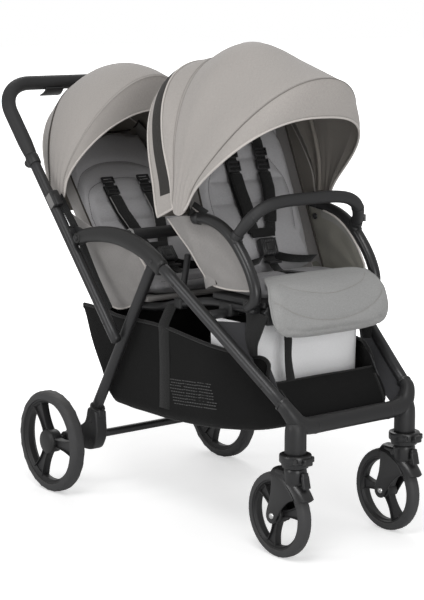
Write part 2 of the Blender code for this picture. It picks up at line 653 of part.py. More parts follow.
def backrests():
    for name, foot, lean, length, body in (
        ("front", FRONT_BACK_FOOT, FRONT_BACK_LEAN, FRONT_BACK_LENGTH, FRONT_BACK),
        ("rear", REAR_BACK_FOOT, REAR_BACK_LEAN, REAR_BACK_LENGTH, REAR_BACK),
    ):
        y, z = leaning(foot, lean, 0.006, -BACK_THICK / 2)
        back = pad(
            f"{name}_backrest_pad", (0, y, z), (0, math.sin(lean), math.cos(lean)),
            (0, -math.cos(lean), math.sin(lean)), BACK_WIDTH, length, BACK_THICK, 0.006,
            taper=0.10, channels=(0.30, 0.58, 0.80),
        )
        hang(back, body, SEAT_CLOTH)


def harnesses():
    """Two shoulder straps that meet at the waist, in front of each backrest, and a buckle below them."""
    for name, foot, lean, reach, buckle_at, body in (
        ("front", FRONT_BACK_FOOT, FRONT_BACK_LEAN, 0.180, (0.040, 0.0210), FRONT_BACK),
        ("rear", REAR_BACK_FOOT, REAR_BACK_LEAN, 0.150, (0.034, 0.0405), REAR_BACK),
    ):
        rows = []
        for i in range(9):
            along = 0.070 + reach * i / 8
            half = 0.022 + 0.026 * min(i / 4, 1.0)
            y, z = leaning(foot, lean, along, 0.0150)
            rows.append((half, y, z))
        straps = []
        for sign in (1, -1):
            strip = [[(sign * half - 0.013, y, z), (sign * half + 0.013, y, z)] for half, y, z in rows]
            straps.append(sheet(f"{name}_harness", strip, 0.003, 0.0))
        y, z = leaning(foot, lean, 0.074, 0.0150)
        joiner = block("joiner", (0, y, z), (0.060, 0.006, 0.020), -lean)
        hang(combine(straps[0], [straps[1], joiner]), body, WEBBING)
        y, z = leaning(foot, lean, *buckle_at)
        buckle = block(f"{name}_buckle", (0, y, z), (0.044, 0.018, 0.040), -lean)
        pocket = block("pocket", (0, y - 0.009 * math.cos(lean), z + 0.009 * math.sin(lean)),
                       (0.018, 0.010, 0.018), -lean)
        hang(combine(buckle, [pocket], "DIFFERENCE"), CHASSIS, BLACK_PLASTIC)
        button_body = rig(f"{name}_buckle_button_slide", y, z, parent=CHASSIS)
        button = block(f"{name}_buckle_button", (0, y - 0.0088 * math.cos(lean), z + 0.0088 * math.sin(lean)),
                       (0.0172, 0.0036, 0.0172), -lean)
        hang(button, button_body, BLACK_PLASTIC)


def arch(axis, angle, reach, half, squareness, shrink=0.0, aside=0.0, low=1.0, points=17):
    """Points of a line across a canopy: it leaves the axis at each side and arches over. Shrink moves it
    in, and aside moves it off its plane, towards larger angles."""
    a = math.radians(angle)
    start = math.radians(low)
    found = []
    for i in range(points):
        t = start + (math.pi - 2 * start) * i / (points - 1)
        x = -(half - shrink) * math.copysign(abs(math.cos(t)) ** (2 / squareness), math.cos(t))
        r = (reach - shrink) * math.sin(t) ** (2 / squareness)
        found.append((x, axis[0] - r * math.cos(a) + aside * math.sin(a),
                      axis[1] + r * math.sin(a) + aside * math.cos(a)))
    return found


def shell(name, lines, wall, squareness):
    """A canopy panel: a loft through lines of (axis, angle, reach, half width, aside), closed by an
    inner skin."""
    def build(bm):
        skins = []
        for shrink in (0.0, wall):
            skins.append([
                [bm.verts.new(p) for p in arch(axis, angle, reach, half, squareness, shrink, aside)]
                for axis, angle, reach, half, aside in lines
            ])
        outer, inner = skins
        for rows in skins:
            for a, b in zip(rows, rows[1:]):
                for p, q, r, s in zip(a, a[1:], b[1:], b):
                    bm.faces.new((p, q, r, s))
        edges = [(outer[0], inner[0]), (outer[-1], inner[-1]),
                 ([row[0] for row in outer], [row[0] for row in inner]),
                 ([row[-1] for row in outer], [row[-1] for row in inner])]
        for a, b in edges:
            for p, q, r, s in zip(a, a[1:], b[1:], b):
                bm.faces.new((p, q, r, s))
        bmesh.ops.recalc_face_normals(bm, faces=bm.faces)
    return new_mesh(name, build)


def canopy_panel(name, axis, bows, squareness, body, first_aside=1.0, last_aside=-1.0):
    """A panel between its first and its last bow, each drawn in a little from its seam."""
    asides = [first_aside * GAP] + [0.0] * (len(bows) - 2) + [last_aside * GAP]
    lines = [(axis, *bow, aside) for bow, aside in zip(bows, asides)]
    hang(shell(name, lines, CANOPY_WALL, squareness), body, CANOPY_CLOTH)


def front_canopy():
    axis, squareness = FRONT_CANOPY_AXIS, FRONT_CANOPY_SQUARENESS
    middle = rig("front_canopy_middle_bow", *axis, parent=FRONT_BACK)
    visor = rig("front_canopy_front_bow", *axis, parent=middle)
    canopy_panel("front_canopy_visor", axis, FRONT_VISOR, squareness, visor)
    canopy_panel("front_canopy_middle", axis, FRONT_MIDDLE, squareness, middle)
    lines = [(axis, *bow, GAP if i == 0 else 0.0) for i, bow in enumerate(FRONT_BACK_PANEL)]
    # the curtain hangs from the last bow down behind the backrest, to its own foot on each side
    back, up = CURTAIN_TOP[0] - CURTAIN_FOOT[0], CURTAIN_TOP[1] - CURTAIN_FOOT[1]
    angle, reach = math.degrees(math.atan2(up, -back)), math.hypot(back, up)
    halfway = tuple((a + b) / 2 for a, b in zip(axis, CURTAIN_FOOT))
    lines.append((halfway, 114.0, 0.293, 0.199, 0.0))
    lines.append((CURTAIN_FOOT, angle, reach, 0.198, 0.0))
    hang(shell("front_canopy_back", lines, CANOPY_WALL, squareness), FRONT_BACK, CANOPY_CLOTH)
    bow = arch(axis, 88.9, 0.3245, 0.1945, squareness, low=10.0, points=15)
    hang(tube("front_canopy_bow", bow, 0.0035, 1), middle, FRAME_PAINT)


def rear_canopy():
    axis = REAR_CANOPY_AXIS
    visor = rig("rear_canopy_front_bow", *axis, parent=REAR_BACK)
    canopy_panel("rear_canopy_visor", axis, REAR_VISOR, REAR_CANOPY_SQUARENESS, visor)
    canopy_panel("rear_canopy_main", axis, REAR_MAIN, REAR_CANOPY_SQUARENESS, REAR_BACK)


def footrest():
    body = rig("footrest", *FOOTREST_PIVOT, parent=CHASSIS)
    y, z = FOOTREST_PIVOT
    rest = pad("footrest_pad", (0, y - 0.0120, z + 0.006), (0, -0.28, -1), (0, -1, 0.28), 0.320,
               FOOTREST_LENGTH, 0.022, 0.006, taper=0.22, channels=(0.40,), corner=0.75)
    hang(rest, body, SEAT_CLOTH)


def bumper():
    """The bar across the front seat. It swings on its right foot and clicks shut on its left one."""
    y, z = BUMPER_FOOT
    body = rig("front_bumper_gate", y, z, -SIDE_GUARD_X, parent=CHASSIS)
    right = [(-SIDE_GUARD_X, y, z), (-SIDE_GUARD_X, y, z + 0.012), (-0.1540, -0.5880, 0.6880),
             (-0.1340, -0.5970, 0.7040), (-0.1000, -0.6030, 0.7140), (0.0, -0.6060, 0.7170)]
    half = [right[0]] + smooth_path(right[1:], 3)
    path = half + [(-x, y, z) for x, y, z in reversed(half[:-1])]
    radii = [0.0095 + 0.0035 * min(max((0.140 - abs(x)) / 0.03, 0.0), 1.0) for x, _, _ in path]
    bar = as_mesh(tube("front_bumper_bar", path, 0.0130, 2, radii))
    x = SIDE_GUARD_X
    housing = block("housing", (x + 0.0060, y, z + 0.0140), (0.0140, 0.0180, 0.0220))
    pocket = block("pocket", (x + 0.0120, y, z + 0.0140), (0.0100, 0.0130, 0.0170))
    bar = combine(combine(bar, [housing]), [pocket], "DIFFERENCE")
    hang(bar, body, BLACK_PLASTIC)
    press = rig("bumper_release_slide", y, z + 0.0140, x + 0.0120, parent=body)
    button = block("bumper_release", (x + 0.0125, y, z + 0.0140), (0.0045, 0.0122, 0.0162))
    hang(button, press, BLACK_PLASTIC)


legs()
crossbar()
collars()
armrests()
seat_frame()
side_guards()
seat_pans()
seat_cushions()
wings()
grab_bar()
basket()
rear_legs()
brake()
rear_wheels()
casters()
handle()
backrests()
harnesses()
front_canopy()
rear_canopy()
footrest()
bumper()
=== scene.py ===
import math

import bmesh
import bpy
import numpy as np
from mathutils import Matrix, Vector, noise
from mathutils.bvhtree import BVHTree


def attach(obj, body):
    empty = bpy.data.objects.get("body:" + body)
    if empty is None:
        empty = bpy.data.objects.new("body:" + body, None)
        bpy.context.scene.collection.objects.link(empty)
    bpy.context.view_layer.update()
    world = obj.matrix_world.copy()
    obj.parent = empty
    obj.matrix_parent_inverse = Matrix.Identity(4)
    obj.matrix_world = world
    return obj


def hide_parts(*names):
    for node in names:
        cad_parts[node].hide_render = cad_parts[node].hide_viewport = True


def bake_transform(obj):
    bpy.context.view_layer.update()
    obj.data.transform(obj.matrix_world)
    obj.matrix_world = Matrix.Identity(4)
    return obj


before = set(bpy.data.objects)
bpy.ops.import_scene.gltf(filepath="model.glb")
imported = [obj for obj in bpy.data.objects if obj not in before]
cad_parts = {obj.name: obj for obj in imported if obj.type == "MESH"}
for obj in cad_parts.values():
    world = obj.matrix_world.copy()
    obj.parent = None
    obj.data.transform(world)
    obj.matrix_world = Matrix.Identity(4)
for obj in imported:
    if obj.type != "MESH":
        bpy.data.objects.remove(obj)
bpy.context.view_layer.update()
axleY = 0.2613  # every y below is measured from the rear axle, as in the part's source
axleShift = Vector((0, axleY, 0))
print("frame loaded:", len(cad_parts), "nodes")


# Small helpers for shader and geometry trees

def feed(tree, node, values):
    for key, value in values.items():
        if isinstance(value, bpy.types.NodeSocket):
            tree.links.new(value, node.inputs[key])
        else:
            node.inputs[key].default_value = value


def addNode(tree, kind, inputs=None, **settings):
    made = tree.nodes.new(kind)
    for key, value in settings.items():
        setattr(made, key, value)
    feed(tree, made, inputs or {})
    return made


def sums(tree, operation, *values, clamp=False):
    return addNode(tree, "ShaderNodeMath", dict(enumerate(values)), operation=operation, use_clamp=clamp).outputs[0]


def newGroup(name, kind, inputs, outputs):
    tree = bpy.data.node_groups.new(name, kind)
    for label, socketType, value in inputs:
        socket = tree.interface.new_socket(label, in_out="INPUT", socket_type=socketType)
        if value is not None:
            socket.default_value = value
    for label, socketType in outputs:
        tree.interface.new_socket(label, in_out="OUTPUT", socket_type=socketType)
    return tree, tree.nodes.new("NodeGroupInput").outputs, tree.nodes.new("NodeGroupOutput").inputs


def mixColour(tree, factor, a, b, blend="MIX"):
    # a colour mix takes its two colours at inputs 6 and 7, and gives the result at output 2
    return addNode(tree, "ShaderNodeMix", {0: factor, 6: a, 7: b}, data_type="RGBA", blend_type=blend).outputs[2]


def srgb(red, green, blue):
    def linear(c):
        c /= 255
        return c / 12.92 if c <= 0.04045 else ((c + 0.055) / 1.055) ** 2.4
    return (linear(red), linear(green), linear(blue), 1.0)


# Threads over and under each other. Height is 0 to 1, Gap marks the holes between threads.
def makeWeaveGroup():
    tree, given, out = newGroup("weave", "ShaderNodeTree",
        [("Vector", "NodeSocketVector", None), ("Thread", "NodeSocketFloat", 0.0009)],
        [("Height", "NodeSocketFloat"), ("Gap", "NodeSocketFloat")])
    parts = addNode(tree, "ShaderNodeSeparateXYZ", {0: given["Vector"]}).outputs
    across = sums(tree, "DIVIDE", parts[0], given["Thread"])
    up = sums(tree, "DIVIDE", parts[1], given["Thread"])
    def thread(a, b, phase):
        ridge = sums(tree, "ABSOLUTE", sums(tree, "SINE", sums(tree, "MULTIPLY", a, math.pi)))
        turn = sums(tree, "MULTIPLY", sums(tree, "ADD", sums(tree, "FLOOR", a), b), math.pi)
        rise = sums(tree, "MULTIPLY_ADD", sums(tree, "SINE", sums(tree, "ADD", turn, phase)), 0.35, 0.65)
        return sums(tree, "MULTIPLY", ridge, rise)
    warp = thread(across, up, 0.0)
    weft = thread(up, across, math.pi)
    top = sums(tree, "MAXIMUM", warp, weft)
    tree.links.new(top, out["Height"])
    tree.links.new(sums(tree, "SUBTRACT", 1.0, sums(tree, "MULTIPLY", top, 1.8, clamp=True), clamp=True),
                   out["Gap"])
    return tree


# The two-tone flecks of a heathered yarn, over a broad unevenness of the dye.
def makeMelangeGroup():
    tree, given, out = newGroup("melange", "ShaderNodeTree",
        [("Vector", "NodeSocketVector", None), ("Color", "NodeSocketColor", (0.4, 0.4, 0.4, 1)),
         ("Fleck", "NodeSocketFloat", 0.12), ("Mottle", "NodeSocketFloat", 0.06)],
        [("Color", "NodeSocketColor"), ("Fluff", "NodeSocketFloat")])
    def flecks(stretch, seed):
        moved = addNode(tree, "ShaderNodeMapping", {"Vector": given["Vector"], "Scale": stretch,
                                                   "Location": (seed, seed, seed)}).outputs[0]
        return addNode(tree, "ShaderNodeTexNoise", {"Vector": moved, "Scale": 1.0, "Detail": 1.0,
                                                   "Roughness": 0.6}).outputs[0]
    along = flecks((160.0, 1300.0, 900.0), 3.0)
    down = flecks((1300.0, 160.0, 900.0), 8.0)
    broad = flecks((7.0, 7.0, 7.0), 5.0)
    yarn = sums(tree, "SUBTRACT", sums(tree, "ADD", along, down), 1.0)
    change = sums(tree, "ADD", sums(tree, "MULTIPLY", yarn, given["Fleck"]),
                  sums(tree, "MULTIPLY", sums(tree, "SUBTRACT", broad, 0.5), given["Mottle"]))
    level = sums(tree, "ADD", 1.0, sums(tree, "MULTIPLY", change, 2.2))
    grey = addNode(tree, "ShaderNodeCombineXYZ", {0: level, 1: level, 2: level}).outputs[0]
    tree.links.new(mixColour(tree, 1.0, given["Color"], grey, "MULTIPLY"), out["Color"])
    tree.links.new(yarn, out["Fluff"])
    return tree


# Pebbled mould grain with a slow change of gloss, for plastics, foam and paint.
def makeGrainGroup():
    tree, given, out = newGroup("grain", "ShaderNodeTree",
        [("Vector", "NodeSocketVector", None), ("Size", "NodeSocketFloat", 0.0008),
         ("Roughness", "NodeSocketFloat", 0.5), ("Change", "NodeSocketFloat", 0.12)],
        [("Height", "NodeSocketFloat"), ("Roughness", "NodeSocketFloat")])
    scale = sums(tree, "DIVIDE", 1.0, given["Size"])
    cells = addNode(tree, "ShaderNodeTexVoronoi", {"Vector": given["Vector"], "Scale": scale}).outputs[0]
    cloud = addNode(tree, "ShaderNodeTexNoise", {"Vector": given["Vector"], "Scale": 22.0,
                                                "Detail": 4.0}).outputs[0]
    rough = sums(tree, "ADD", given["Roughness"],
                 sums(tree, "MULTIPLY", sums(tree, "SUBTRACT", cloud, 0.5), given["Change"]), clamp=True)
    tree.links.new(cells, out["Height"])
    tree.links.new(rough, out["Roughness"])
    return tree


# Rubbed edges and settled dust: Edge is high on convex corners, Dust on upward faces.
def makeWearGroup():
    tree, given, out = newGroup("wear", "ShaderNodeTree",
        [("Vector", "NodeSocketVector", None), ("Amount", "NodeSocketFloat", 0.5)],
        [("Edge", "NodeSocketFloat"), ("Dust", "NodeSocketFloat")])
    shape = addNode(tree, "ShaderNodeNewGeometry").outputs
    broken = addNode(tree, "ShaderNodeTexNoise", {"Vector": given["Vector"], "Scale": 60.0,
                                                 "Detail": 5.0}).outputs[0]
    sharp = sums(tree, "MULTIPLY", sums(tree, "SUBTRACT", shape["Pointiness"], 0.53), 9.0, clamp=True)
    tree.links.new(sums(tree, "MULTIPLY", sums(tree, "MULTIPLY", sharp, broken), given["Amount"], clamp=True),
                   out["Edge"])
    facing = addNode(tree, "ShaderNodeSeparateXYZ", {0: shape["Normal"]}).outputs[2]
    settled = sums(tree, "MULTIPLY", sums(tree, "POWER", sums(tree, "MAXIMUM", facing, 0.0), 2.0), broken)
    tree.links.new(sums(tree, "MULTIPLY", settled, given["Amount"], clamp=True), out["Dust"])
    return tree


weaveGroup = makeWeaveGroup()
melangeGroup = makeMelangeGroup()
grainGroup = makeGrainGroup()
wearGroup = makeWearGroup()


def startMaterial(name):
    made = bpy.data.materials.new(name)
    made.use_nodes = True
    tree = made.node_tree
    return made, tree, tree.nodes["Principled BSDF"]


def groupNode(tree, group, inputs):
    return addNode(tree, "ShaderNodeGroup", inputs, node_tree=group).outputs


# A woven cloth. The weave follows the piece's UV map in metres, or the object's own x and height.
def makeCloth(name, colour, thread=0.0009, fleck=0.12, bump=0.35, sheen=0.25, flat=True, roughness=0.88,
              wrinkle=0.0):
    made, tree, shader = startMaterial(name)
    coords = addNode(tree, "ShaderNodeTexCoord").outputs
    place = coords["UV"] if flat else addNode(tree, "ShaderNodeMapping", {
        "Vector": coords["Object"], "Rotation": (math.radians(-90), 0, 0)}).outputs[0]
    weave = groupNode(tree, weaveGroup, {"Vector": place, "Thread": thread})
    yarn = groupNode(tree, melangeGroup, {"Vector": place, "Color": colour, "Fleck": fleck})
    shade = mixColour(tree, sums(tree, "MULTIPLY", weave["Gap"], 0.45), yarn["Color"],
                      tuple(c * 0.45 for c in colour[:3]) + (1.0,))
    height = sums(tree, "ADD", weave["Height"], sums(tree, "MULTIPLY", yarn["Fluff"], 0.6))
    bumped = addNode(tree, "ShaderNodeBump", {"Strength": bump, "Distance": thread * 0.35, "Height": height})
    last = bumped.outputs[0]
    if wrinkle:
        soft = addNode(tree, "ShaderNodeTexNoise", {"Vector": coords["Object"], "Scale": 28.0, "Detail": 3.0,
                                                   "Distortion": 0.6}).outputs[0]
        last = addNode(tree, "ShaderNodeBump", {"Strength": wrinkle, "Distance": 0.004, "Height": soft,
                                               "Normal": last}).outputs[0]
    feed(tree, shader, {"Base Color": shade, "Roughness": roughness, "Sheen Weight": sheen, "Sheen Roughness": 0.45,
                        "Specular IOR Level": 0.25, "Normal": last})
    return made


def makeHard(name, colour, roughness, grain=0.0008, bump=0.15, metallic=0.0, wear=0.5, worn=None, dusty=0.10):
    made, tree, shader = startMaterial(name)
    coords = addNode(tree, "ShaderNodeTexCoord").outputs
    pebble = groupNode(tree, grainGroup, {"Vector": coords["Object"], "Size": grain, "Roughness": roughness})
    used = groupNode(tree, wearGroup, {"Vector": coords["Object"], "Amount": wear})
    bare = worn or tuple(min(c * 2.6 + 0.02, 1.0) for c in colour[:3]) + (1.0,)
    edged = mixColour(tree, used["Edge"], colour, bare)
    dusted = mixColour(tree, sums(tree, "MULTIPLY", used["Dust"], dusty), edged, srgb(150, 146, 140))
    bumped = addNode(tree, "ShaderNodeBump", {"Strength": bump, "Distance": grain * 0.25,
                                             "Height": pebble["Height"]})
    feed(tree, shader, {"Base Color": dusted, "Roughness": pebble["Roughness"], "Metallic": metallic,
                        "Normal": bumped.outputs[0]})
    return made


finish = {
    "tube": makeHard("frameTube", srgb(54, 54, 55), 0.36, grain=0.0004, bump=0.06, metallic=0.45, wear=0.25),
    "plastic": makeHard("blackPlastic", srgb(28, 28, 29), 0.47, grain=0.0007, bump=0.14),
    "armrest": makeHard("armrestPlastic", srgb(26, 26, 26), 0.46, grain=0.0009, bump=0.10, wear=0.3),
    "tab": makeHard("greyTab", srgb(120, 120, 120), 0.45, grain=0.0006, bump=0.05),
    "gloss": makeHard("smoothPlastic", srgb(30, 30, 31), 0.30, grain=0.0006, bump=0.04),
    "tyre": makeHard("tyreFoam", srgb(56, 56, 57), 0.66, grain=0.0012, bump=0.30, wear=0.8, dusty=0.3,
                     worn=srgb(92, 90, 88)),
    "grip": makeHard("gripFoam", srgb(34, 34, 35), 0.58, grain=0.0010, bump=0.35, wear=0.3),
    "steel": makeHard("capSteel", srgb(205, 205, 205), 0.28, grain=0.0004, bump=0.03, metallic=1.0, wear=0.2),
    "canopy": makeCloth("canopyCloth", srgb(170, 165, 161), thread=0.0009, fleck=0.16, wrinkle=0.10),
    "piping": makeCloth("canopyPiping", srgb(196, 191, 186), thread=0.0006, fleck=0.06, bump=0.2),
    # seam piping: the canopy cloth darkened as painted shade along the visor seam
    "seamPipingPaintedShade": makeCloth("seamPipingPaintedShade", srgb(126, 122, 118), thread=0.0006, fleck=0.05, bump=0.2),
    "restPiping": makeCloth("restPiping", srgb(146, 146, 145), thread=0.0006, fleck=0.06, bump=0.2),
    "wingBorder": makeCloth("wingBorder", srgb(132, 131, 127), thread=0.0008, fleck=0.10),
    # dark piping: the rear hood's black binding, and on the back covers painted shade of the gaps beside the pads
    "darkPiping": makeCloth("darkPiping", srgb(58, 54, 50), thread=0.0006, fleck=0.05, bump=0.2),
    "lining": makeCloth("canopyLining", srgb(132, 127, 121), thread=0.0007, fleck=0.08, bump=0.2, wrinkle=0.12),
    "seat": makeCloth("seatCloth", srgb(170, 169, 171), thread=0.0010, fleck=0.16, flat=False, sheen=0.2),
    "seatFlat": makeCloth("seatClothFlat", srgb(150, 147, 145), thread=0.0010, fleck=0.14, wrinkle=0.16),
    "cushion": makeCloth("cushionCloth", srgb(147, 146, 148), thread=0.0010, fleck=0.16, flat=False, sheen=0.15),
    "rest": makeCloth("footrestCloth", srgb(152, 152, 151), thread=0.0010, fleck=0.14, flat=False, sheen=0.2),
    "seatPiping": makeCloth("seatPiping", srgb(140, 139, 138), thread=0.0006, fleck=0.06, bump=0.2),
    "innerWing": makeCloth("innerWing", srgb(126, 124, 116), thread=0.0008, fleck=0.10, wrinkle=0.1),
    "basket": makeCloth("basketCloth", srgb(9, 9, 9), thread=0.0011, fleck=0.10, bump=0.5, sheen=0.04,
                        wrinkle=0.20),
    "basketPanel": makeCloth("basketPanel", srgb(54, 54, 56), thread=0.0008, fleck=0.08, bump=0.3, wrinkle=0.1),
    "mesh": makeCloth("meshStrip", srgb(52, 50, 48), thread=0.0016, fleck=0.10, bump=0.8, sheen=0.1),
    "webbing": makeCloth("webbing", srgb(24, 24, 24), thread=0.0013, fleck=0.10, bump=0.7, sheen=0.15,
                         roughness=0.7),
    "guard": makeCloth("legGuard", srgb(250, 250, 251), thread=0.0008, fleck=0.05, wrinkle=0.1),
    "print": makeCloth("hatchPrint", srgb(74, 74, 74), thread=0.0006, fleck=0.2, bump=0.2, flat=False),
    "thread": makeCloth("sewingThread", srgb(150, 146, 142), thread=0.0003, fleck=0.05, bump=0.2, flat=False),
    "darkThread": makeCloth("darkThread", srgb(70, 68, 66), thread=0.0003, fleck=0.05, bump=0.2, flat=False),
}
print("materials:", len(finish))


# Mesh makers, all in axle coordinates until keepPiece moves them

def settle(name, mesh, body, replaces, sharp):
    made = bpy.data.objects.new(name, mesh)
    bpy.context.scene.collection.objects.link(made)
    mesh.shade_smooth()
    mesh.set_sharp_from_angle(angle=math.radians(sharp))
    if body:
        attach(made, body)
    if replaces:
        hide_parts(*replaces)
    return made


def keepPiece(name, bm, materials, body, replaces=(), sharp=38.0):
    bmesh.ops.remove_doubles(bm, verts=bm.verts, dist=2e-6)
    bmesh.ops.dissolve_degenerate(bm, edges=bm.edges, dist=1e-6)
    bmesh.ops.recalc_face_normals(bm, faces=bm.faces)
    bmesh.ops.translate(bm, vec=axleShift, verts=bm.verts)
    mesh = bpy.data.meshes.new(name)
    bm.to_mesh(mesh)
    bm.free()
    for used in materials:
        mesh.materials.append(finish[used])
    return settle(name, mesh, body, replaces, sharp)


bothSides = (("Left", "left", 1), ("Right", "right", -1))


def mirrored(make):
    for label, side, sign in bothSides:
        make(label, side, sign)


def newBmesh():
    bm = bmesh.new()
    bm.loops.layers.uv.new("cloth")
    return bm


def smoothPath(points, steps):
    ends = [points[0], *points, points[-1]]
    found = []
    for a, b, c, d in zip(ends, ends[1:], ends[2:], ends[3:]):
        for i in range(steps):
            t = i / steps
            found.append(tuple(
                0.5 * (2 * q + (r - p) * t + (2 * p - 5 * q + 4 * r - s) * t**2 + (3 * q - p - 3 * r + s) * t**3)
                for p, q, r, s in zip(a, b, c, d)))
    return [*found, tuple(points[-1])]


def evenPath(points, count):
    line = [Vector(p) for p in points]
    gone = [0.0]
    for a, b in zip(line, line[1:]):
        gone.append(gone[-1] + (b - a).length)
    found, j = [], 0
    for i in range(count):
        want = gone[-1] * i / (count - 1)
        while j < len(line) - 2 and gone[j + 1] < want:
            j += 1
        span = gone[j + 1] - gone[j]
        found.append(line[j].lerp(line[j + 1], (want - gone[j]) / span if span > 1e-9 else 0.0))
    return found


def faceWithUv(bm, verts, uvs, index):
    face = bm.faces.new(verts)
    face.material_index = index
    layer = bm.loops.layers.uv.active
    for loop, uv in zip(face.loops, uvs):
        loop[layer].uv = uv


# A grid of quads through rows of points, with a UV map in metres. indexAt picks each quad's material.
def addGrid(bm, rows, index=0, indexAt=None, flip=False):
    rows = [[Vector(p) for p in row] for row in rows]
    acrossAt, downAt = [], []
    for row in rows:
        gone = [0.0]
        for a, b in zip(row, row[1:]):
            gone.append(gone[-1] + (b - a).length)
        middle = gone[-1] / 2
        acrossAt.append([g - middle for g in gone])
    for j in range(len(rows[0])):
        gone = [0.0]
        for a, b in zip(rows, rows[1:]):
            gone.append(gone[-1] + (b[j] - a[j]).length)
        downAt.append(gone)
    verts = [[bm.verts.new(p) for p in row] for row in rows]
    for i in range(len(rows) - 1):
        for j in range(len(rows[0]) - 1):
            corners = [(i, j), (i, j + 1), (i + 1, j + 1), (i + 1, j)]
            if flip:
                corners.reverse()
            found = [verts[a][b] for a, b in corners]
            uvs = [(acrossAt[a][b], downAt[b][a]) for a, b in corners]
            faceWithUv(bm, found, uvs, indexAt(i, j) if indexAt else index)
    return verts


def gridNormals(rows):
    rows = [[Vector(p) for p in row] for row in rows]
    found = []
    for i, row in enumerate(rows):
        line = []
        for j in range(len(row)):
            a = rows[min(i + 1, len(rows) - 1)][j] - rows[max(i - 1, 0)][j]
            b = row[min(j + 1, len(row) - 1)] - row[max(j - 1, 0)]
            n = b.cross(a)
            line.append(n.normalized() if n.length > 1e-12 else Vector((0, 0, 0)))
        found.append(line)
    # where lines run together the direction comes from the next column
    for line in found:
        for j, n in enumerate(line):
            if n.length < 0.5:
                line[j] = next((line[k] for k in range(j, len(line)) if line[k].length > 0.5),
                               next((m for m in reversed(line) if m.length > 0.5), Vector((1, 0, 0))))
    return found


# A cloth of two skins and its cut edges. The outer skin is where the rows are, and the inner one
# lies inside it by the thickness. side is 1 or -1: which way the rows' normals face.
def addCloth(bm, rows, thickness, side=1, inner=1, indexAt=None, innerAt=None):
    rows = [[Vector(p) for p in row] for row in rows]
    normals = gridNormals(rows)
    within = [[p - n * side * thickness for p, n in zip(row, line)] for row, line in zip(rows, normals)]
    top = addGrid(bm, rows, 0, indexAt, flip=side < 0)
    low = addGrid(bm, within, inner, innerAt, flip=side > 0)
    borders = [
        (top[0], low[0], side < 0), (top[-1], low[-1], side > 0),
        ([r[0] for r in top], [r[0] for r in low], side > 0),
        ([r[-1] for r in top], [r[-1] for r in low], side < 0),
    ]
    for a, b, turned in borders:
        for p, q, r, s in zip(a, a[1:], b[1:], b):
            loop = [p, q, r, s] if turned else [s, r, q, p]
            if len({v.index if v.index >= 0 else id(v) for v in loop}) == 4:
                faceWithUv(bm, loop, [(0, 0), (0.001, 0), (0.001, 0.001), (0, 0.001)], 0)
    return rows, normals


# A section swept along a path. side fixes the section's first direction, and without it the
# section keeps from twisting. domed adds rounded ends.
def addSweep(bm, path, section, index=0, side=None, scales=None, domed=0.0):
    line = [Vector(p) for p in path]
    scales = list(scales) if scales else [1.0] * len(line)
    if domed:
        first, last = (line[0] - line[1]).normalized(), (line[-1] - line[-2]).normalized()
        turns = [math.radians(a) for a in (30, 60, 82)]
        line = ([line[0] + first * domed * math.sin(a) for a in reversed(turns)] + line
                + [line[-1] + last * domed * math.sin(a) for a in turns])
        scales = ([scales[0] * math.cos(a) for a in reversed(turns)] + scales
                  + [scales[-1] * math.cos(a) for a in turns])
    count = len(line)
    tangents = [(line[min(i + 1, count - 1)] - line[max(i - 1, 0)]).normalized() for i in range(count)]
    across = Vector(side(0) if callable(side) else side) if side else tangents[0].orthogonal()
    rings, uAt = [], [0.0]
    for (a0, b0), (a1, b1) in zip(section, section[1:] + section[:1]):
        uAt.append(uAt[-1] + math.hypot(a1 - a0, b1 - b0))
    vAt = 0.0
    for i, (point, tangent) in enumerate(zip(line, tangents)):
        if side and callable(side):
            across = Vector(side(i))
        across = (across - tangent * across.dot(tangent)).normalized()
        up = tangent.cross(across)
        if i:
            vAt += (point - line[i - 1]).length
        rings.append(([bm.verts.new(point + (across * a + up * b) * scales[i]) for a, b in section], vAt))
    size = len(section)
    for (ringA, va), (ringB, vb) in zip(rings, rings[1:]):
        for j in range(size):
            k = (j + 1) % size
            uvs = [(uAt[j], va), (uAt[j + 1], va), (uAt[j + 1], vb), (uAt[j], vb)]
            faceWithUv(bm, [ringA[j], ringA[k], ringB[k], ringB[j]], uvs, index)
    for ring in (rings[0][0][::-1], rings[-1][0]):
        faceWithUv(bm, ring, [(0, 0)] * size, index)


def circle(radius, sides=24, squash=1.0):
    return [(radius * squash * math.cos(2 * math.pi * i / sides), radius * math.sin(2 * math.pi * i / sides))
            for i in range(sides)]


# A flat strap's section with round edges
def slab(width, thick, rounding=3):
    half, r = width / 2 - thick / 2, thick / 2
    return [(end * half + r * math.cos(a), r * math.sin(a)) for end in (1, -1)
            for a in (-end * math.pi / 2 + math.pi * i / rounding for i in range(rounding + 1))]


# A section between an ellipse and a rectangle. The powers are below 1, and lower is squarer.
def squareRound(wide, high, powerA, powerB, sides):
    return [(math.copysign(abs(math.cos(a)) ** powerA * wide, math.cos(a)),
             math.copysign(abs(math.sin(a)) ** powerB * high, math.sin(a)))
            for a in (2 * math.pi * i / sides for i in range(sides))]


def addTube(bm, path, radius, sides=24, domed=None):
    addSweep(bm, path, circle(radius, sides), domed=radius * 0.35 if domed is None else domed)


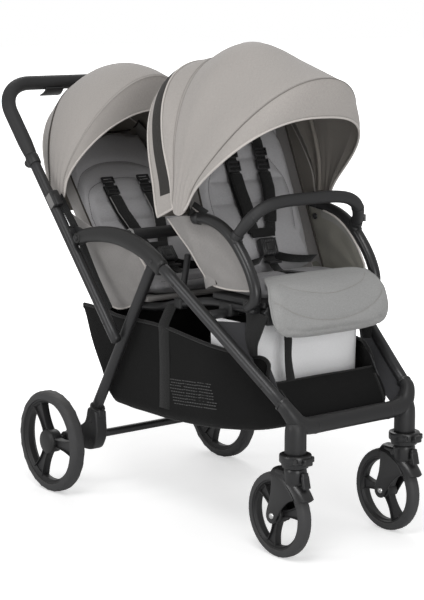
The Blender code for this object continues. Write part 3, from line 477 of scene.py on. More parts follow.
# A ring turned about an axis through centre. The profile holds (radius, place along the axis).
def addLathe(bm, profile, centre, axis="X", steps=48, index=0, closed=False):
    centre = Vector(centre)
    along = Vector({"X": (1, 0, 0), "Z": (0, 0, 1)}.get(axis) if isinstance(axis, str) else axis).normalized()
    first = Vector((0, 0, 1)) if abs(along.z) < 0.9 else Vector((1, 0, 0))
    first = (first - along * first.dot(along)).normalized()
    second = along.cross(first)
    rings = []
    for radius, place in profile:
        if radius < 1e-6:
            rings.append([bm.verts.new(centre + along * place)])
            continue
        rings.append([bm.verts.new(centre + along * place + (first * math.cos(a) + second * math.sin(a)) * radius)
                      for a in (2 * math.pi * i / steps for i in range(steps))])
    gone = 0.0
    pairs = list(zip(rings, rings[1:], profile, profile[1:]))
    if closed:
        pairs.append((rings[-1], rings[0], profile[-1], profile[0]))
    for a, b, (ra, pa), (rb, pb) in pairs:
        length = math.hypot(rb - ra, pb - pa)
        for i in range(steps):
            k = (i + 1) % steps
            u0, u1 = 2 * math.pi * max(ra, rb) * i / steps, 2 * math.pi * max(ra, rb) * (i + 1) / steps
            if len(a) == 1 and len(b) == 1:
                continue
            if len(a) == 1:
                faceWithUv(bm, [a[0], b[k], b[i]], [(u0, gone), (u1, gone + length), (u0, gone + length)], index)
            elif len(b) == 1:
                faceWithUv(bm, [a[i], a[k], b[0]], [(u0, gone), (u1, gone), (u0, gone + length)], index)
            else:
                faceWithUv(bm, [a[i], a[k], b[k], b[i]],
                           [(u0, gone), (u1, gone), (u1, gone + length), (u0, gone + length)], index)
        gone += length


# A profile for the other side is turned round, so that its faces still look outwards.
def facing(profile, sign):
    return profile if sign > 0 else [(radius, -place) for radius, place in reversed(profile)]


# A plate with a (y, z) outline between two x planes, its edges rounded.
def addPlate(bm, outline, low, high, rounding=0.0015, index=0):
    line = [Vector((0, y, z)) for y, z in outline]
    area = sum(a.y * b.z - b.y * a.z for a, b in zip(line, line[1:] + line[:1]))
    if area < 0:
        line.reverse()
    count = len(line)
    inward = []
    for i in range(count):
        a, b, c = line[i - 1], line[i], line[(i + 1) % count]
        e0, e1 = (b - a).normalized(), (c - b).normalized()
        n0, n1 = Vector((0, -e0.z, e0.y)), Vector((0, -e1.z, e1.y))
        n = n0 + n1
        inward.append(n / max(n.dot(n0), 0.5))
    levels = [(low + rounding * (1 - math.sin(a)), rounding * (1 - math.cos(a)))
              for a in (math.radians(90 - 30 * i) for i in range(4))]
    levels += [(high + low - x, r) for x, r in reversed(levels)]
    rings = [[bm.verts.new((x, p.y + n.y * r, p.z + n.z * r)) for p, n in zip(line, inward)]
             for x, r in levels]
    for a, b in zip(rings, rings[1:]):
        for i in range(count):
            k = (i + 1) % count
            faceWithUv(bm, [a[i], a[k], b[k], b[i]], [(0, 0)] * 4, index)
    faceWithUv(bm, list(reversed(rings[0])), [(v.co.y, v.co.z) for v in reversed(rings[0])], index)
    faceWithUv(bm, rings[-1], [(v.co.y, v.co.z) for v in rings[-1]], index)


def addBox(bm, centre, size, rounding=0.002, turn=None, index=0, segments=2):
    before = set(bm.verts)
    bmesh.ops.create_cube(bm, size=1.0)
    verts = [v for v in bm.verts if v not in before]
    bmesh.ops.scale(bm, vec=size, verts=verts)
    edges = list({e for v in verts for e in v.link_edges})
    bmesh.ops.bevel(bm, geom=edges, offset=rounding, segments=segments, affect="EDGES", clamp_overlap=True,
                    profile=0.5)
    verts = [v for v in bm.verts if v not in before]
    if turn is not None:
        bmesh.ops.rotate(bm, cent=(0, 0, 0), matrix=turn, verts=verts)
    bmesh.ops.translate(bm, vec=centre, verts=verts)
    for v in verts:
        for face in v.link_faces:
            face.material_index = index


def leanTurn(lean):
    return Matrix.Rotation(-lean, 3, "X")


# A point on a leaning seat back: along its front surface, and off it towards the child.
def leaning(foot, lean, along, off=0.0):
    return (foot[0] + along * math.sin(lean) - off * math.cos(lean),
            foot[1] + along * math.cos(lean) + off * math.sin(lean))


# Stitches, rivets and tyre treads come from geometry trees

def startTree(name, inputs):
    geometry = ("Geometry", "NodeSocketGeometry")
    return newGroup(name, "GeometryNodeTree", [(*geometry, None), *inputs], [geometry])


def makeStitchTree():
    tree, given, out = startTree("stitches", [
        ("Spacing", "NodeSocketFloat", 0.0045), ("Length", "NodeSocketFloat", 0.0030),
        ("Thickness", "NodeSocketFloat", 0.0006), ("Thread", "NodeSocketMaterial", None)])
    line = addNode(tree, "GeometryNodeMeshToCurve", {"Mesh": given["Geometry"]})
    spaced = addNode(tree, "GeometryNodeResampleCurve", {"Curve": line.outputs[0], "Length": given["Spacing"]},
                     mode="LENGTH")
    stitch = addNode(tree, "GeometryNodeMeshCylinder", {"Vertices": 6, "Side Segments": 2,
                                                        "Radius": given["Thickness"], "Depth": given["Length"]})
    along = addNode(tree, "GeometryNodeInputTangent")
    turned = addNode(tree, "FunctionNodeAlignRotationToVector", {"Vector": along.outputs[0]}, axis="Z")
    many = addNode(tree, "GeometryNodeInstanceOnPoints", {
        "Points": spaced.outputs[0], "Instance": stitch.outputs[0], "Rotation": turned.outputs[0]})
    real = addNode(tree, "GeometryNodeRealizeInstances", {0: many.outputs[0]})
    done = addNode(tree, "GeometryNodeSetMaterial", {"Geometry": real.outputs[0], "Material": given["Thread"]})
    tree.links.new(done.outputs[0], out["Geometry"])
    return tree


def makeRivetTree():
    tree, given, out = startTree("rivets", [
        ("Radius", "NodeSocketFloat", 0.004), ("Height", "NodeSocketFloat", 0.0016),
        ("Metal", "NodeSocketMaterial", None)])
    # a flattened ball whose lower half sinks into the tube
    ball = addNode(tree, "GeometryNodeMeshUVSphere", {"Segments": 20, "Rings": 10, "Radius": 1.0})
    size = addNode(tree, "ShaderNodeCombineXYZ", {0: given["Radius"], 1: given["Radius"], 2: given["Height"]})
    flat = addNode(tree, "GeometryNodeTransform", {"Geometry": ball.outputs[0], "Scale": size.outputs[0]})
    facing = addNode(tree, "GeometryNodeInputNamedAttribute", {"Name": "facing"}, data_type="FLOAT_VECTOR")
    turned = addNode(tree, "FunctionNodeAlignRotationToVector", {"Vector": facing.outputs[0]}, axis="Z")
    many = addNode(tree, "GeometryNodeInstanceOnPoints", {
        "Points": given["Geometry"], "Instance": flat.outputs[0], "Rotation": turned.outputs[0]})
    real = addNode(tree, "GeometryNodeRealizeInstances", {0: many.outputs[0]})
    done = addNode(tree, "GeometryNodeSetMaterial", {"Geometry": real.outputs[0], "Material": given["Metal"]})
    tree.links.new(done.outputs[0], out["Geometry"])
    return tree


# The tyre's section goes round a ring, then slanting grooves are pressed into its tread.
def makeTyreTree():
    tree, given, out = startTree("tyre", [
        ("Radius", "NodeSocketFloat", 0.1), ("Half Width", "NodeSocketFloat", 0.017),
        ("Segments", "NodeSocketInt", 360), ("Grooves", "NodeSocketFloat", 36.0),
        ("Depth", "NodeSocketFloat", 0.0012), ("Slant", "NodeSocketFloat", 1.2),
        ("Groove Width", "NodeSocketFloat", 0.16), ("Rubber", "NodeSocketMaterial", None)])
    section = addNode(tree, "GeometryNodeMeshToCurve", {"Mesh": given["Geometry"]})
    ring = addNode(tree, "GeometryNodeCurvePrimitiveCircle", {"Resolution": given["Segments"],
                                                              "Radius": given["Radius"]}, mode="RADIUS")
    body = addNode(tree, "GeometryNodeCurveToMesh", {"Curve": ring.outputs[0], "Profile Curve": section.outputs[0]})
    place = addNode(tree, "GeometryNodeInputPosition").outputs[0]
    parts = addNode(tree, "ShaderNodeSeparateXYZ", {0: place}).outputs
    turn = sums(tree, "ARCTAN2", parts[1], parts[0])
    aside = sums(tree, "ABSOLUTE", sums(tree, "DIVIDE", parts[2], given["Half Width"]))
    phase = sums(tree, "ADD", sums(tree, "MULTIPLY", turn, sums(tree, "DIVIDE", given["Grooves"], 2 * math.pi)),
                 sums(tree, "MULTIPLY", aside, given["Slant"]))
    saw = sums(tree, "ABSOLUTE", sums(tree, "SUBTRACT", sums(tree, "FRACT", sums(tree, "ADD", phase, 50.0)), 0.5))
    near = sums(tree, "SUBTRACT", 1.0, sums(tree, "DIVIDE", saw, given["Groove Width"]), clamp=True)
    flatR = sums(tree, "SQRT", sums(tree, "ADD", sums(tree, "MULTIPLY", parts[0], parts[0]),
                                    sums(tree, "MULTIPLY", parts[1], parts[1])))
    outside = sums(tree, "MULTIPLY", sums(tree, "SUBTRACT", flatR, sums(tree, "SUBTRACT", given["Radius"], 0.010)),
                   250.0, clamp=True)
    rim = sums(tree, "MULTIPLY", sums(tree, "SUBTRACT", aside, 0.22), 8.0, clamp=True)
    press = sums(tree, "MULTIPLY", sums(tree, "MULTIPLY", near, given["Depth"]), sums(tree, "MULTIPLY", outside, rim))
    inward = addNode(tree, "ShaderNodeVectorMath", {0: addNode(tree, "GeometryNodeInputNormal").outputs[0],
                                                    "Scale": sums(tree, "MULTIPLY", press, -1.0)},
                     operation="SCALE").outputs[0]
    pressed = addNode(tree, "GeometryNodeSetPosition", {"Geometry": body.outputs[0], "Offset": inward})
    real = addNode(tree, "GeometryNodeRealizeInstances", {0: pressed.outputs[0]})
    done = addNode(tree, "GeometryNodeSetMaterial", {"Geometry": real.outputs[0], "Material": given["Rubber"]})
    tree.links.new(done.outputs[0], out["Geometry"])
    return tree


stitchTree = makeStitchTree()
rivetTree = makeRivetTree()
tyreTree = makeTyreTree()


def readPoints(mesh):
    found = np.empty(len(mesh.vertices) * 3)
    mesh.vertices.foreach_get("co", found)
    return found.reshape(-1, 3)


def writePoints(mesh, points):
    mesh.vertices.foreach_set("co", np.array(points).ravel())
    mesh.update()


def evaluated(made):
    graph = bpy.context.evaluated_depsgraph_get()
    graph.update()
    return made.evaluated_get(graph)


# The piece's modifiers become its mesh.
def bake(made):
    mesh = bpy.data.meshes.new_from_object(evaluated(made))
    made.modifiers.clear()
    made.data = mesh


# Runs a tree on a base mesh and gives the result as a plain mesh. Inputs go in by socket identifier.
def runTree(base, tree, values):
    holder = bpy.data.objects.new("treeBase", base)
    bpy.context.scene.collection.objects.link(holder)
    modifier = holder.modifiers.new("tree", "NODES")
    modifier.node_group = tree
    for socket in tree.interface.items_tree:
        if socket.item_type == "SOCKET" and socket.in_out == "INPUT" and socket.name in values:
            modifier[socket.identifier] = values[socket.name]
    mesh = bpy.data.meshes.new_from_object(evaluated(holder))
    bpy.data.objects.remove(holder)
    bpy.data.meshes.remove(base)
    return mesh


def linesMesh(lines):
    base = bpy.data.meshes.new("lines")
    verts, edges = [], []
    for line in lines:
        start = len(verts)
        verts += [tuple(p) for p in line]
        edges += [(start + i, start + i + 1) for i in range(len(line) - 1)]
    base.from_pydata(verts, edges, [])
    return base


def keepMesh(name, mesh, body, replaces=(), moved=axleShift, sharp=40.0):
    mesh.name = name
    mesh.transform(Matrix.Translation(moved))
    return settle(name, mesh, body, replaces, sharp)


def sewStitches(name, lines, body, thread="thread", spacing=0.0045, length=0.0030, thickness=0.00055):
    mesh = runTree(linesMesh(lines), stitchTree, {"Spacing": spacing, "Length": length,
                                                  "Thickness": thickness, "Thread": finish[thread]})
    return keepMesh(name, mesh, body)


def setRivets(name, places, body, radius=0.004, height=0.0016, metal="tube"):
    base = bpy.data.meshes.new("rivetPlaces")
    base.from_pydata([p for p, n in places], [], [])
    facing = base.attributes.new("facing", "FLOAT_VECTOR", "POINT")
    for i, (p, n) in enumerate(places):
        facing.data[i].vector = n
    mesh = runTree(base, rivetTree, {"Radius": radius, "Height": height, "Metal": finish[metal]})
    return keepMesh(name, mesh, body)


# Canopies. Each is swept by arches about one axis, and its lower ends round off in a small lobe.
def archPoints(axis, angle, reach, half, square, count=121):
    a = math.radians(angle)
    found = []
    for i in range(count):
        t = math.pi * i / (count - 1)
        c = math.cos(t)
        x = -half * math.copysign(abs(c) ** (2 / square), c)
        r = reach * max(math.sin(t), 0.0) ** (2 / square)
        found.append((x, axis[0] - r * math.cos(a), axis[1] + r * math.sin(a)))
    return found


hoodColumns = 72


def canopyLine(canopy, angle, reach, half, square, axis=None, lobeAt=None):
    here = axis or canopy["axis"]
    line = evenPath(archPoints(here, angle, reach, half, square), hoodColumns + 1)
    low, high = canopy["spread"]
    share = (angle - low) / (high - low) if lobeAt is None else lobeAt
    turn = math.radians(180 + 180 * min(max(share, 0.0), 1.0))
    lobe = Vector((0, canopy["lobeY"] * math.cos(turn), canopy["lobeZ"] * math.sin(turn) + canopy["lobeUp"]))
    found = []
    for i, p in enumerate(line):
        s = min(i, hoodColumns - i) / hoodColumns
        r = math.hypot(p.y - here[0], p.z - here[1])
        pull = math.exp(-((r / canopy["lobeReach"]) ** 2))
        # pull folds run up from each tip, and the crown has soft unevenness
        away = (p - Vector((0, *here)))
        away.x = 0
        ripple = canopy["ripple"] * math.exp(-r / 0.11) * min(r / 0.03, 1.0) * math.sin(angle * 0.55 + 2.1)
        soft = noise.noise(Vector((p.x * 9 + 3, p.y * 14, p.z * 14))) * 0.0018 * min(r / 0.08, 1.0)
        outward = Vector((math.copysign(1.0, p.x) * (1 - s * 2) ** 2, 0, 0)) \
            + (away.normalized() if away.length > 1e-6 else Vector((0, 0, 0))) * (s * 2)
        found.append(p + lobe * pull + outward * (ripple + soft))
    return found


def bowRows(canopy, bows, steps):
    return [canopyLine(canopy, *bow) for bow in smoothPath(bows, steps)]


# Moves a line off the cloth: outwards by a little, and along it towards the given side.
def alongSeam(rows, normals, at, lift, towards, shift):
    found = []
    for j in range(2, len(rows[at]) - 2):
        p = rows[at][j] + normals[at][j] * lift
        beside = rows[at + towards][j] - rows[at][j]
        if beside.length > 1e-6:
            p += beside.normalized() * min(shift, beside.length * 0.8)
        found.append(p)
    return found


# The middle of the cloth's cut edge, for the piping that binds it
def cutEdge(rows, normals, at, wall):
    return [p - n * wall * 0.5 for p, n in zip(rows[at], normals[at])]


def makeVisor(name, c, seams):
    body = f"{name}_canopy_front"
    visor = bowRows(c, c["visor"], 5)
    bm = newBmesh()
    rows, normals = addCloth(bm, visor, c["cloth"])
    addSweep(bm, cutEdge(rows, normals, 0, c["cloth"]), circle(c["hem"], 10), index=2)
    made = keepPiece(f"{name}CanopyVisor", bm, ["canopy", "lining", "piping"], body,
                     [f"{name}_canopy_visor"])
    sewStitches(f"{name}VisorStitches", [alongSeam(rows, normals, *seam) for seam in seams], body)


frontCanopy = {
    "axis": (-0.4210, 0.6920), "spread": (41.0, 118.0),
    "lobeY": 0.019, "lobeZ": 0.013, "lobeUp": -0.001, "lobeReach": 0.045, "ripple": 0.0016,
    "visor": [(41.0, 0.295, 0.199, 2.60), (44.0, 0.318, 0.198, 2.50), (47.0, 0.341, 0.197, 2.30),
              (49.5, 0.359, 0.197, 2.15)],
    "middle": [(49.5, 0.359, 0.197, 2.15), (55.0, 0.346, 0.199, 2.15), (62.0, 0.3355, 0.201, 2.08),
               (71.0, 0.3315, 0.202, 1.93), (80.0, 0.336, 0.202, 1.87), (90.0, 0.3425, 0.202, 1.87),
               (99.0, 0.3375, 0.202, 1.83), (108.0, 0.328, 0.201, 1.85)],
    "back": [(108.0, 0.328, 0.201, 1.85), (113.0, 0.332, 0.201, 2.10), (118.0, 0.338, 0.200, 2.38)],
    "bow": (90.0, 0.3425 - 0.0060, 0.1960, 1.87),
    "curtainFoot": (-0.3530, 0.6800), "curtainTop": (-0.2340, 0.9600), "curtainBend": (0.6, 0.0065),
    "curtainRows": 8, "meshRows": 5, "meshInset": 3,
    "cloth": 0.0016, "hem": 0.0026, "piping": 0.0009,
}


# The angle and reach of the curtain's crest, seen from its own foot
def curtainArch(c):
    foot, crest = c["curtainFoot"], c["curtainTop"]
    behind, up = crest[0] - foot[0], crest[1] - foot[1]
    return math.degrees(math.atan2(up, -behind)), math.hypot(behind, up)


def makeFrontCanopy(c):
    wall = c["cloth"]
    makeVisor("front", c, [(0, 0.0004, 1, 0.0075)])
    middle = bowRows(c, c["middle"], 5)
    bm = newBmesh()
    rows, normals = addCloth(bm, middle, wall)
    made = keepPiece("frontCanopyMiddle", bm, ["canopy", "lining"], None,
                     ["front_canopy_middle"])
    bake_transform(made)
    bm = newBmesh()
    bow = canopyLine(c, *c["bow"])
    addTube(bm, bow[3:-3], 0.0035, sides=16)
    keepPiece("frontCanopyBow", bm, ["tube"], "front_canopy_mid", ["front_canopy_bow"])
    bm = newBmesh()
    addSweep(bm, bow[2:-2], circle(0.0046, 14), domed=0.001)
    keepPiece("frontBowSleeve", bm, ["lining"], "front_canopy_mid")
    # the piping, its darker colour painted shade along the seam, and its stitches sit on the seam to the visor
    bm = newBmesh()
    seam = [p + n * c["piping"] * 0.5 for p, n in zip(rows[0], normals[0])]
    addSweep(bm, seam, circle(c["piping"], 8))
    keepPiece("frontSeamPiping", bm, ["seamPipingPaintedShade"], "front_canopy_front")
    sewStitches("frontSeamStitches", [alongSeam(rows, normals, 0, 0.0005, 1, 0.0045)],
                "front_canopy_front")
    sewStitches("frontMiddleStitches", [alongSeam(rows, normals, -1, 0.0005, -1, 0.0045)],
                "front_canopy_mid")

    # the back panel ends in light piping, then a dark mesh strip and the curtain's own light edge
    back = bowRows(c, c["back"], 4)
    foot, axis = c["curtainFoot"], c["axis"]
    angle, reach = curtainArch(c)
    backAngle, backReach, backHalf, backSquare = c["back"][-1]
    bendAngle, bendReach = c["curtainBend"]
    strip = []
    for step in range(1, c["curtainRows"] + 1):
        t = step / c["curtainRows"]
        here = (axis[0] + (foot[0] - axis[0]) * t, axis[1] + (foot[1] - axis[1]) * t)
        bend = 4 * t * (1 - t)
        strip.append(canopyLine(c, backAngle + (angle - backAngle) * t + bendAngle * bend,
                                backReach + (reach - backReach) * t + bendReach * bend,
                                backHalf - 0.002 * t, backSquare + 0.22 * t, axis=here, lobeAt=1.0 - 0.35 * t))
    bm = newBmesh()
    edge = len(back) - 1
    meshRows, meshColumns = range(edge, edge + c["meshRows"]), range(c["meshInset"], hoodColumns - c["meshInset"])
    rows, normals = addCloth(bm, back + strip, wall,
                             indexAt=lambda i, j: 2 if i in meshRows and j in meshColumns else 0)
    made = keepPiece("frontCanopyBack", bm, ["canopy", "lining", "mesh"], None,
                     ["front_canopy_back"])
    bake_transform(made)
    bm = newBmesh()
    addSweep(bm, rows[edge], circle(0.0022, 8))
    addSweep(bm, cutEdge(rows, normals, -1, wall), circle(0.0026, 8))
    for j in (0, -1):
        addSweep(bm, [row[j] for row in rows[edge:]], circle(0.0026, 8), domed=0.001)
    keepPiece("frontCurtainPiping", bm, ["piping"], "front_backrest")
    sewStitches("frontBackStitches", [alongSeam(rows, normals, edge, 0.0005, -1, 0.0050),
                                      alongSeam(rows, normals, -1, 0.0005, -1, 0.0060)],
                "front_backrest")
    sewStitches("frontBowStitches", [alongSeam(rows, normals, 0, 0.0005, 1, 0.0045)],
                "front_canopy_mid")


rearCanopy = {
    "axis": (0.0480, 0.6640), "spread": (62.0, 132.0),
    "lobeY": 0.026, "lobeZ": 0.013, "lobeUp": 0.008, "lobeReach": 0.045, "ripple": 0.0014,
    "visor": [(62.0, 0.236, 0.197, 1.9), (64.0, 0.262, 0.197, 1.9), (66.0, 0.290, 0.197, 1.9),
              (67.5, 0.311, 0.197, 1.9)],
    "main": [(67.5, 0.311, 0.197, 1.9), (80.0, 0.311, 0.198, 1.9), (94.0, 0.311, 0.198, 1.9),
             (108.0, 0.309, 0.198, 1.9)],
    "back": [(108.0, 0.309, 0.198, 1.9), (121.0, 0.305, 0.198, 1.9), (132.0, 0.299, 0.197, 1.9)],
    "cloth": 0.0016, "hem": 0.0026,
}


def makeRearCanopy(c):
    wall = c["cloth"]
    makeVisor("rear", c, [(0, 0.0004, 1, 0.0075), (-1, 0.0004, -1, 0.0045)])
    main = bowRows(c, c["main"], 6)
    back = bowRows(c, c["back"], 5)[1:]
    bm = newBmesh()
    rows, normals = addCloth(bm, main + back, wall)
    made = keepPiece("rearCanopyMain", bm, ["canopy", "lining"], None,
                     ["rear_canopy_main"])
    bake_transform(made)
    # the black binding near the back edge
    bm = newBmesh()
    bound = len(main) + 3
    addSweep(bm, [p + n * 0.0006 for p, n in zip(rows[bound], normals[bound])], slab(0.0065, 0.0024),
             side=lambda i: normals[bound][i].cross(Vector((1, 0, 0))) if abs(normals[bound][i].x) < 0.9
             else Vector((0, 1, 0)))
    keepPiece("rearCanopyBinding", bm, ["darkPiping"], "rear_backrest")
    bm = newBmesh()
    addSweep(bm, cutEdge(rows, normals, -1, wall), circle(0.0026, 8))
    keepPiece("rearCanopyEdge", bm, ["piping"], "rear_backrest")
    sewStitches("rearSeamStitches", [alongSeam(rows, normals, 0, 0.0004, 1, 0.0045)],
                "rear_canopy_front")
    sewStitches("rearBackStitches", [alongSeam(rows, normals, bound, 0.0005, -1, 0.0060)],
                "rear_backrest")


makeFrontCanopy(frontCanopy)
makeRearCanopy(rearCanopy)
print("canopies")


# Padded pieces. A pad is swollen by a short cloth run, then its channels are sewn in.
def padMesh(spec):
    origin, along, out = (Vector(spec[k]) for k in ("origin", "along", "out"))
    along.normalize()
    out.normalize()
    side = Vector((1, 0, 0))
    shrink = spec.get("shrink", 0.003)
    columns, rows = 26, 34
    bm = newBmesh()
    skins = []
    for face in (1, -1):
        grid = []
        for i in range(rows + 1):
            line = []
            for j in range(columns + 1):
                u, reach = 2 * j / columns - 1, 2 * i / rows - 1
                v = i / rows
                pull = max(abs(u), abs(reach))
                if pull > 0:
                    curve = (abs(u) ** 4 + abs(reach) ** 4) ** 0.25
                    k = 1 - spec["corner"] + spec["corner"] * pull / curve
                    su, sr = u * k, reach * k
                else:
                    su, sr = u, reach
                edge = max((1 - abs(u) ** 5) * (1 - abs(reach) ** 7), 0.0)
                rise = spec["thick"] / 2 * (0.30 + 0.70 * edge**0.5)
                if face > 0:
                    rise += spec["crown"] * edge
                    rise += spec.get("bolster", 0.0) * max(abs(u) - 0.55, 0.0) ** 1.5 * 3
                wide = (spec["width"] / 2 - shrink) * (1 - spec["taper"] * v)
                deep = shrink + (sr + 1) / 2 * (spec["length"] - 2 * shrink)
                line.append(origin + side * (su * wide) + along * deep + out * (face * (rise - shrink * 0.6)))
            grid.append(line)
        skins.append(grid)
    top = addGrid(bm, skins[0])
    low = addGrid(bm, skins[1], flip=True)
    around = [(top[0], low[0]), (top[-1], low[-1]), ([r[0] for r in top], [r[0] for r in low]),
              ([r[-1] for r in top], [r[-1] for r in low])]
    for a, b in around:
        for p, q, r, s in zip(a, a[1:], b[1:], b):
            faceWithUv(bm, [p, q, r, s], [(0, 0)] * 4, 0)
    return bm


clothRun = {"quality": 4, "mass": 0.3, "tension_stiffness": 20, "compression_stiffness": 12,
            "bending_stiffness": 0.8, "use_pressure": True, "uniform_pressure_force": 4.0}
voxel = 0.005
lastFrame = 20


# Blender's cloth with a little pressure. No point moves further than the cap.
def swell(made, cap):
    scene = bpy.context.scene
    remesh = made.modifiers.new("remesh", "REMESH")
    remesh.mode = "VOXEL"
    remesh.voxel_size = voxel
    bake(made)
    before = readPoints(made.data)
    cloth = made.modifiers.new("cloth", "CLOTH")
    for setting, value in clothRun.items():
        setattr(cloth.settings, setting, value)
    cloth.settings.effector_weights.gravity = 0
    cloth.point_cache.frame_start = 1
    cloth.point_cache.frame_end = lastFrame
    for number in range(1, lastFrame + 1):
        scene.frame_set(number)
    after = readPoints(made.evaluated_get(bpy.context.evaluated_depsgraph_get()).data)
    made.modifiers.clear()
    scene.frame_set(1)
    moved = after - before
    length = np.linalg.norm(moved, axis=1, keepdims=True)
    writePoints(made.data, before + moved * np.minimum(1.0, cap / np.maximum(length, 1e-9)))


# A pad that was swollen is fine already. A quick one is still the coarse cage.
def subdivide(made):
    finer = made.modifiers.new("finer", "SUBSURF")
    finer.levels = finer.render_levels = 1
    bake(made)


def padFrame(spec):
    along, out = Vector(spec["along"]).normalized(), Vector(spec["out"]).normalized()
    return Vector(spec["origin"]) + axleShift, Vector((1, 0, 0)), along, out


# Presses the seams into the pad's outer side. A seam is points of (across, along) in metres.
def pressSeams(made, spec, seams, depth, width):
    origin, side, along, out = (np.array(v) for v in padFrame(spec))
    mesh = made.data
    co = readPoints(mesh)
    normals = np.empty(len(mesh.vertices) * 3)
    mesh.vertices.foreach_get("normal", normals)
    facing = np.clip(normals.reshape(-1, 3) @ out * 2.0, 0, 1)
    place = np.stack([(co - origin) @ side, (co - origin) @ along], axis=1)
    best = np.full(len(co), 1.0)
    for seam in seams:
        line = np.array(seam, float)
        for a, b in zip(line, line[1:]):
            d = b - a
            t = np.clip(((place - a) @ d) / max(d @ d, 1e-12), 0, 1)
            best = np.minimum(best, np.linalg.norm(place - (a + t[:, None] * d), axis=1))
    drop = depth * np.exp(-np.abs(best / width) ** 1.3) * facing
    writePoints(mesh, co - drop[:, None] * out)


# The same seams as lines lying on the pad's surface, for stitches and piping.
def onSurface(made, spec, seams):
    lift, above = 0.0003, 0.08
    origin, side, along, out = padFrame(spec)
    bm = bmesh.new()
    bm.from_mesh(made.data)
    tree = BVHTree.FromBMesh(bm)
    bm.free()
    found = []
    for seam in seams:
        line = []
        for a, b in seam:
            start = origin + side * a + along * b + out * above
            hit = tree.ray_cast(start, -out, 2 * above)[0]
            if hit is not None:
                line.append(hit + out * lift - axleShift)
        if len(line) > 1:
            found.append(line)
    return found


def arcLine(points):
    return smoothPath(points, 8)


# Smooth all over, in one material. Remeshing has dropped the one that keepPiece gave.
def paint(made, material):
    made.data.shade_smooth()
    made.data.materials.clear()
    made.data.materials.append(finish[material])


def makePad(name, spec, seams, body, node, material, depth, width, stitched):
    made = keepPiece(name, padMesh(spec), [material], None, [node], sharp=180)
    swell(made, 0.007)
    subdivide(made)
    pressSeams(made, spec, seams, depth, width)
    paint(made, material)
    lines = onSurface(made, spec, [seams[i] for i in stitched])
    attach(made, body)
    sewStitches(name + "Stitches", lines, body, "darkThread", spacing=0.0042, length=0.0028)


frontLean, rearLean = math.radians(21), math.radians(40)
frontFoot, rearFoot = (-0.4670, 0.5550), (-0.1000, 0.4900)


backShapes = {
    "front": {
        "foot": frontFoot, "lean": frontLean, "low": -0.024, "length": 0.380,
        "across": [(0.107, 0.147), (0.103, 0.197), (0.064, 0.246)],
        "outer": [(0.143, 0.255), (0.131, 0.283), (0.108, 0.303), (0.062, 0.325), (0.0, 0.334)],
        "inner": [(0.104, 0.085), (0.110, 0.150), (0.105, 0.190), (0.087, 0.222), (0.066, 0.250), (0.036, 0.276),
                  (0.0, 0.286)],
    },
    "rear": {
        "foot": rearFoot, "lean": rearLean, "low": -0.006, "length": 0.430,
        "across": [(0.100, 0.100), (0.100, 0.160), (0.086, 0.215)],
        "outer": [(0.126, 0.010), (0.133, 0.120), (0.132, 0.220), (0.110, 0.285), (0.060, 0.316), (0.0, 0.324)],
        "inner": [(0.110, 0.010), (0.120, 0.100), (0.120, 0.185), (0.102, 0.244), (0.057, 0.270), (0.0, 0.278)],
    },
}


def backSpec(c):
    foot, lean, low, length = c["foot"], c["lean"], c["low"], c["length"]
    y, z = leaning(foot, lean, low, -0.018)
    spec = {"origin": (0, y, z), "along": (0, math.sin(lean), math.cos(lean)),
            "out": (0, -math.cos(lean), math.sin(lean)), "width": 0.300, "length": length - low, "thick": 0.034,
            "crown": 0.004, "taper": 0.10, "corner": 0.5, "bolster": 0.010}
    arches = [arcLine(half + [(-x, v) for x, v in reversed(half[:-1])]) for half in (c["outer"], c["inner"])]
    across = [arcLine([(-x, v), (0.0, v - 0.002), (x, v)]) for x, v in c["across"]]
    return spec, [[(x, v - low) for x, v in line] for line in arches + across]


def makeBackrests():
    for name, c in backShapes.items():
        foot, lean, length = c["foot"], c["lean"], c["length"]
        spec, seams = backSpec(c)
        makePad(f"{name}BackrestPad", spec, seams, f"{name}_backrest", f"{name}_backrest_pad", "seat",
                depth=0.0060, width=0.0080, stitched=(0, 1))
        # the cover that wraps the back and the sides of the rest
        half = 0.1495
        section = [(-half, 0.012), (-half - 0.002, -0.012), (-half + 0.006, -0.034), (-half + 0.030, -0.0415),
                   (-0.06, -0.0425), (0.0, -0.0430)]
        section += [(-x, off) for x, off in reversed(section[:-1])]
        section = smoothPath(section, 4)
        rows = []
        for i in range(29):
            v = i / 28
            narrow = 1 - 0.10 * v - 0.12 * max(v - 0.85, 0.0) ** 2 * 30 / 1.35
            along = c["low"] + (length + 0.004 - c["low"]) * v
            row = []
            for x, off in section:
                closing = max(v - 0.94, 0.0) / 0.06
                ripple = 0.0012 * noise.noise(Vector((x * 20, along * 16, lean)))
                y, z = leaning(foot, lean, along, off * (1 - 0.25 * closing) + ripple)
                row.append((x * narrow, y, z))
            rows.append(row)
        bm = newBmesh()
        rows, _ = addCloth(bm, rows, 0.0016, inner=0)
        made = keepPiece(f"{name}BackCover", bm, ["seatFlat"], f"{name}_backrest")
        # piping down both sides and over the top of the cover, dark as painted shade of the gaps along the pad's edges
        bm = newBmesh()
        for j in (0, -1):
            addSweep(bm, [row[j] for row in rows], circle(0.0022, 8), domed=0.001)
        addSweep(bm, rows[-1], circle(0.0022, 8))
        keepPiece(f"{name}BackPiping", bm, ["darkPiping"], f"{name}_backrest")


makeBackrests()


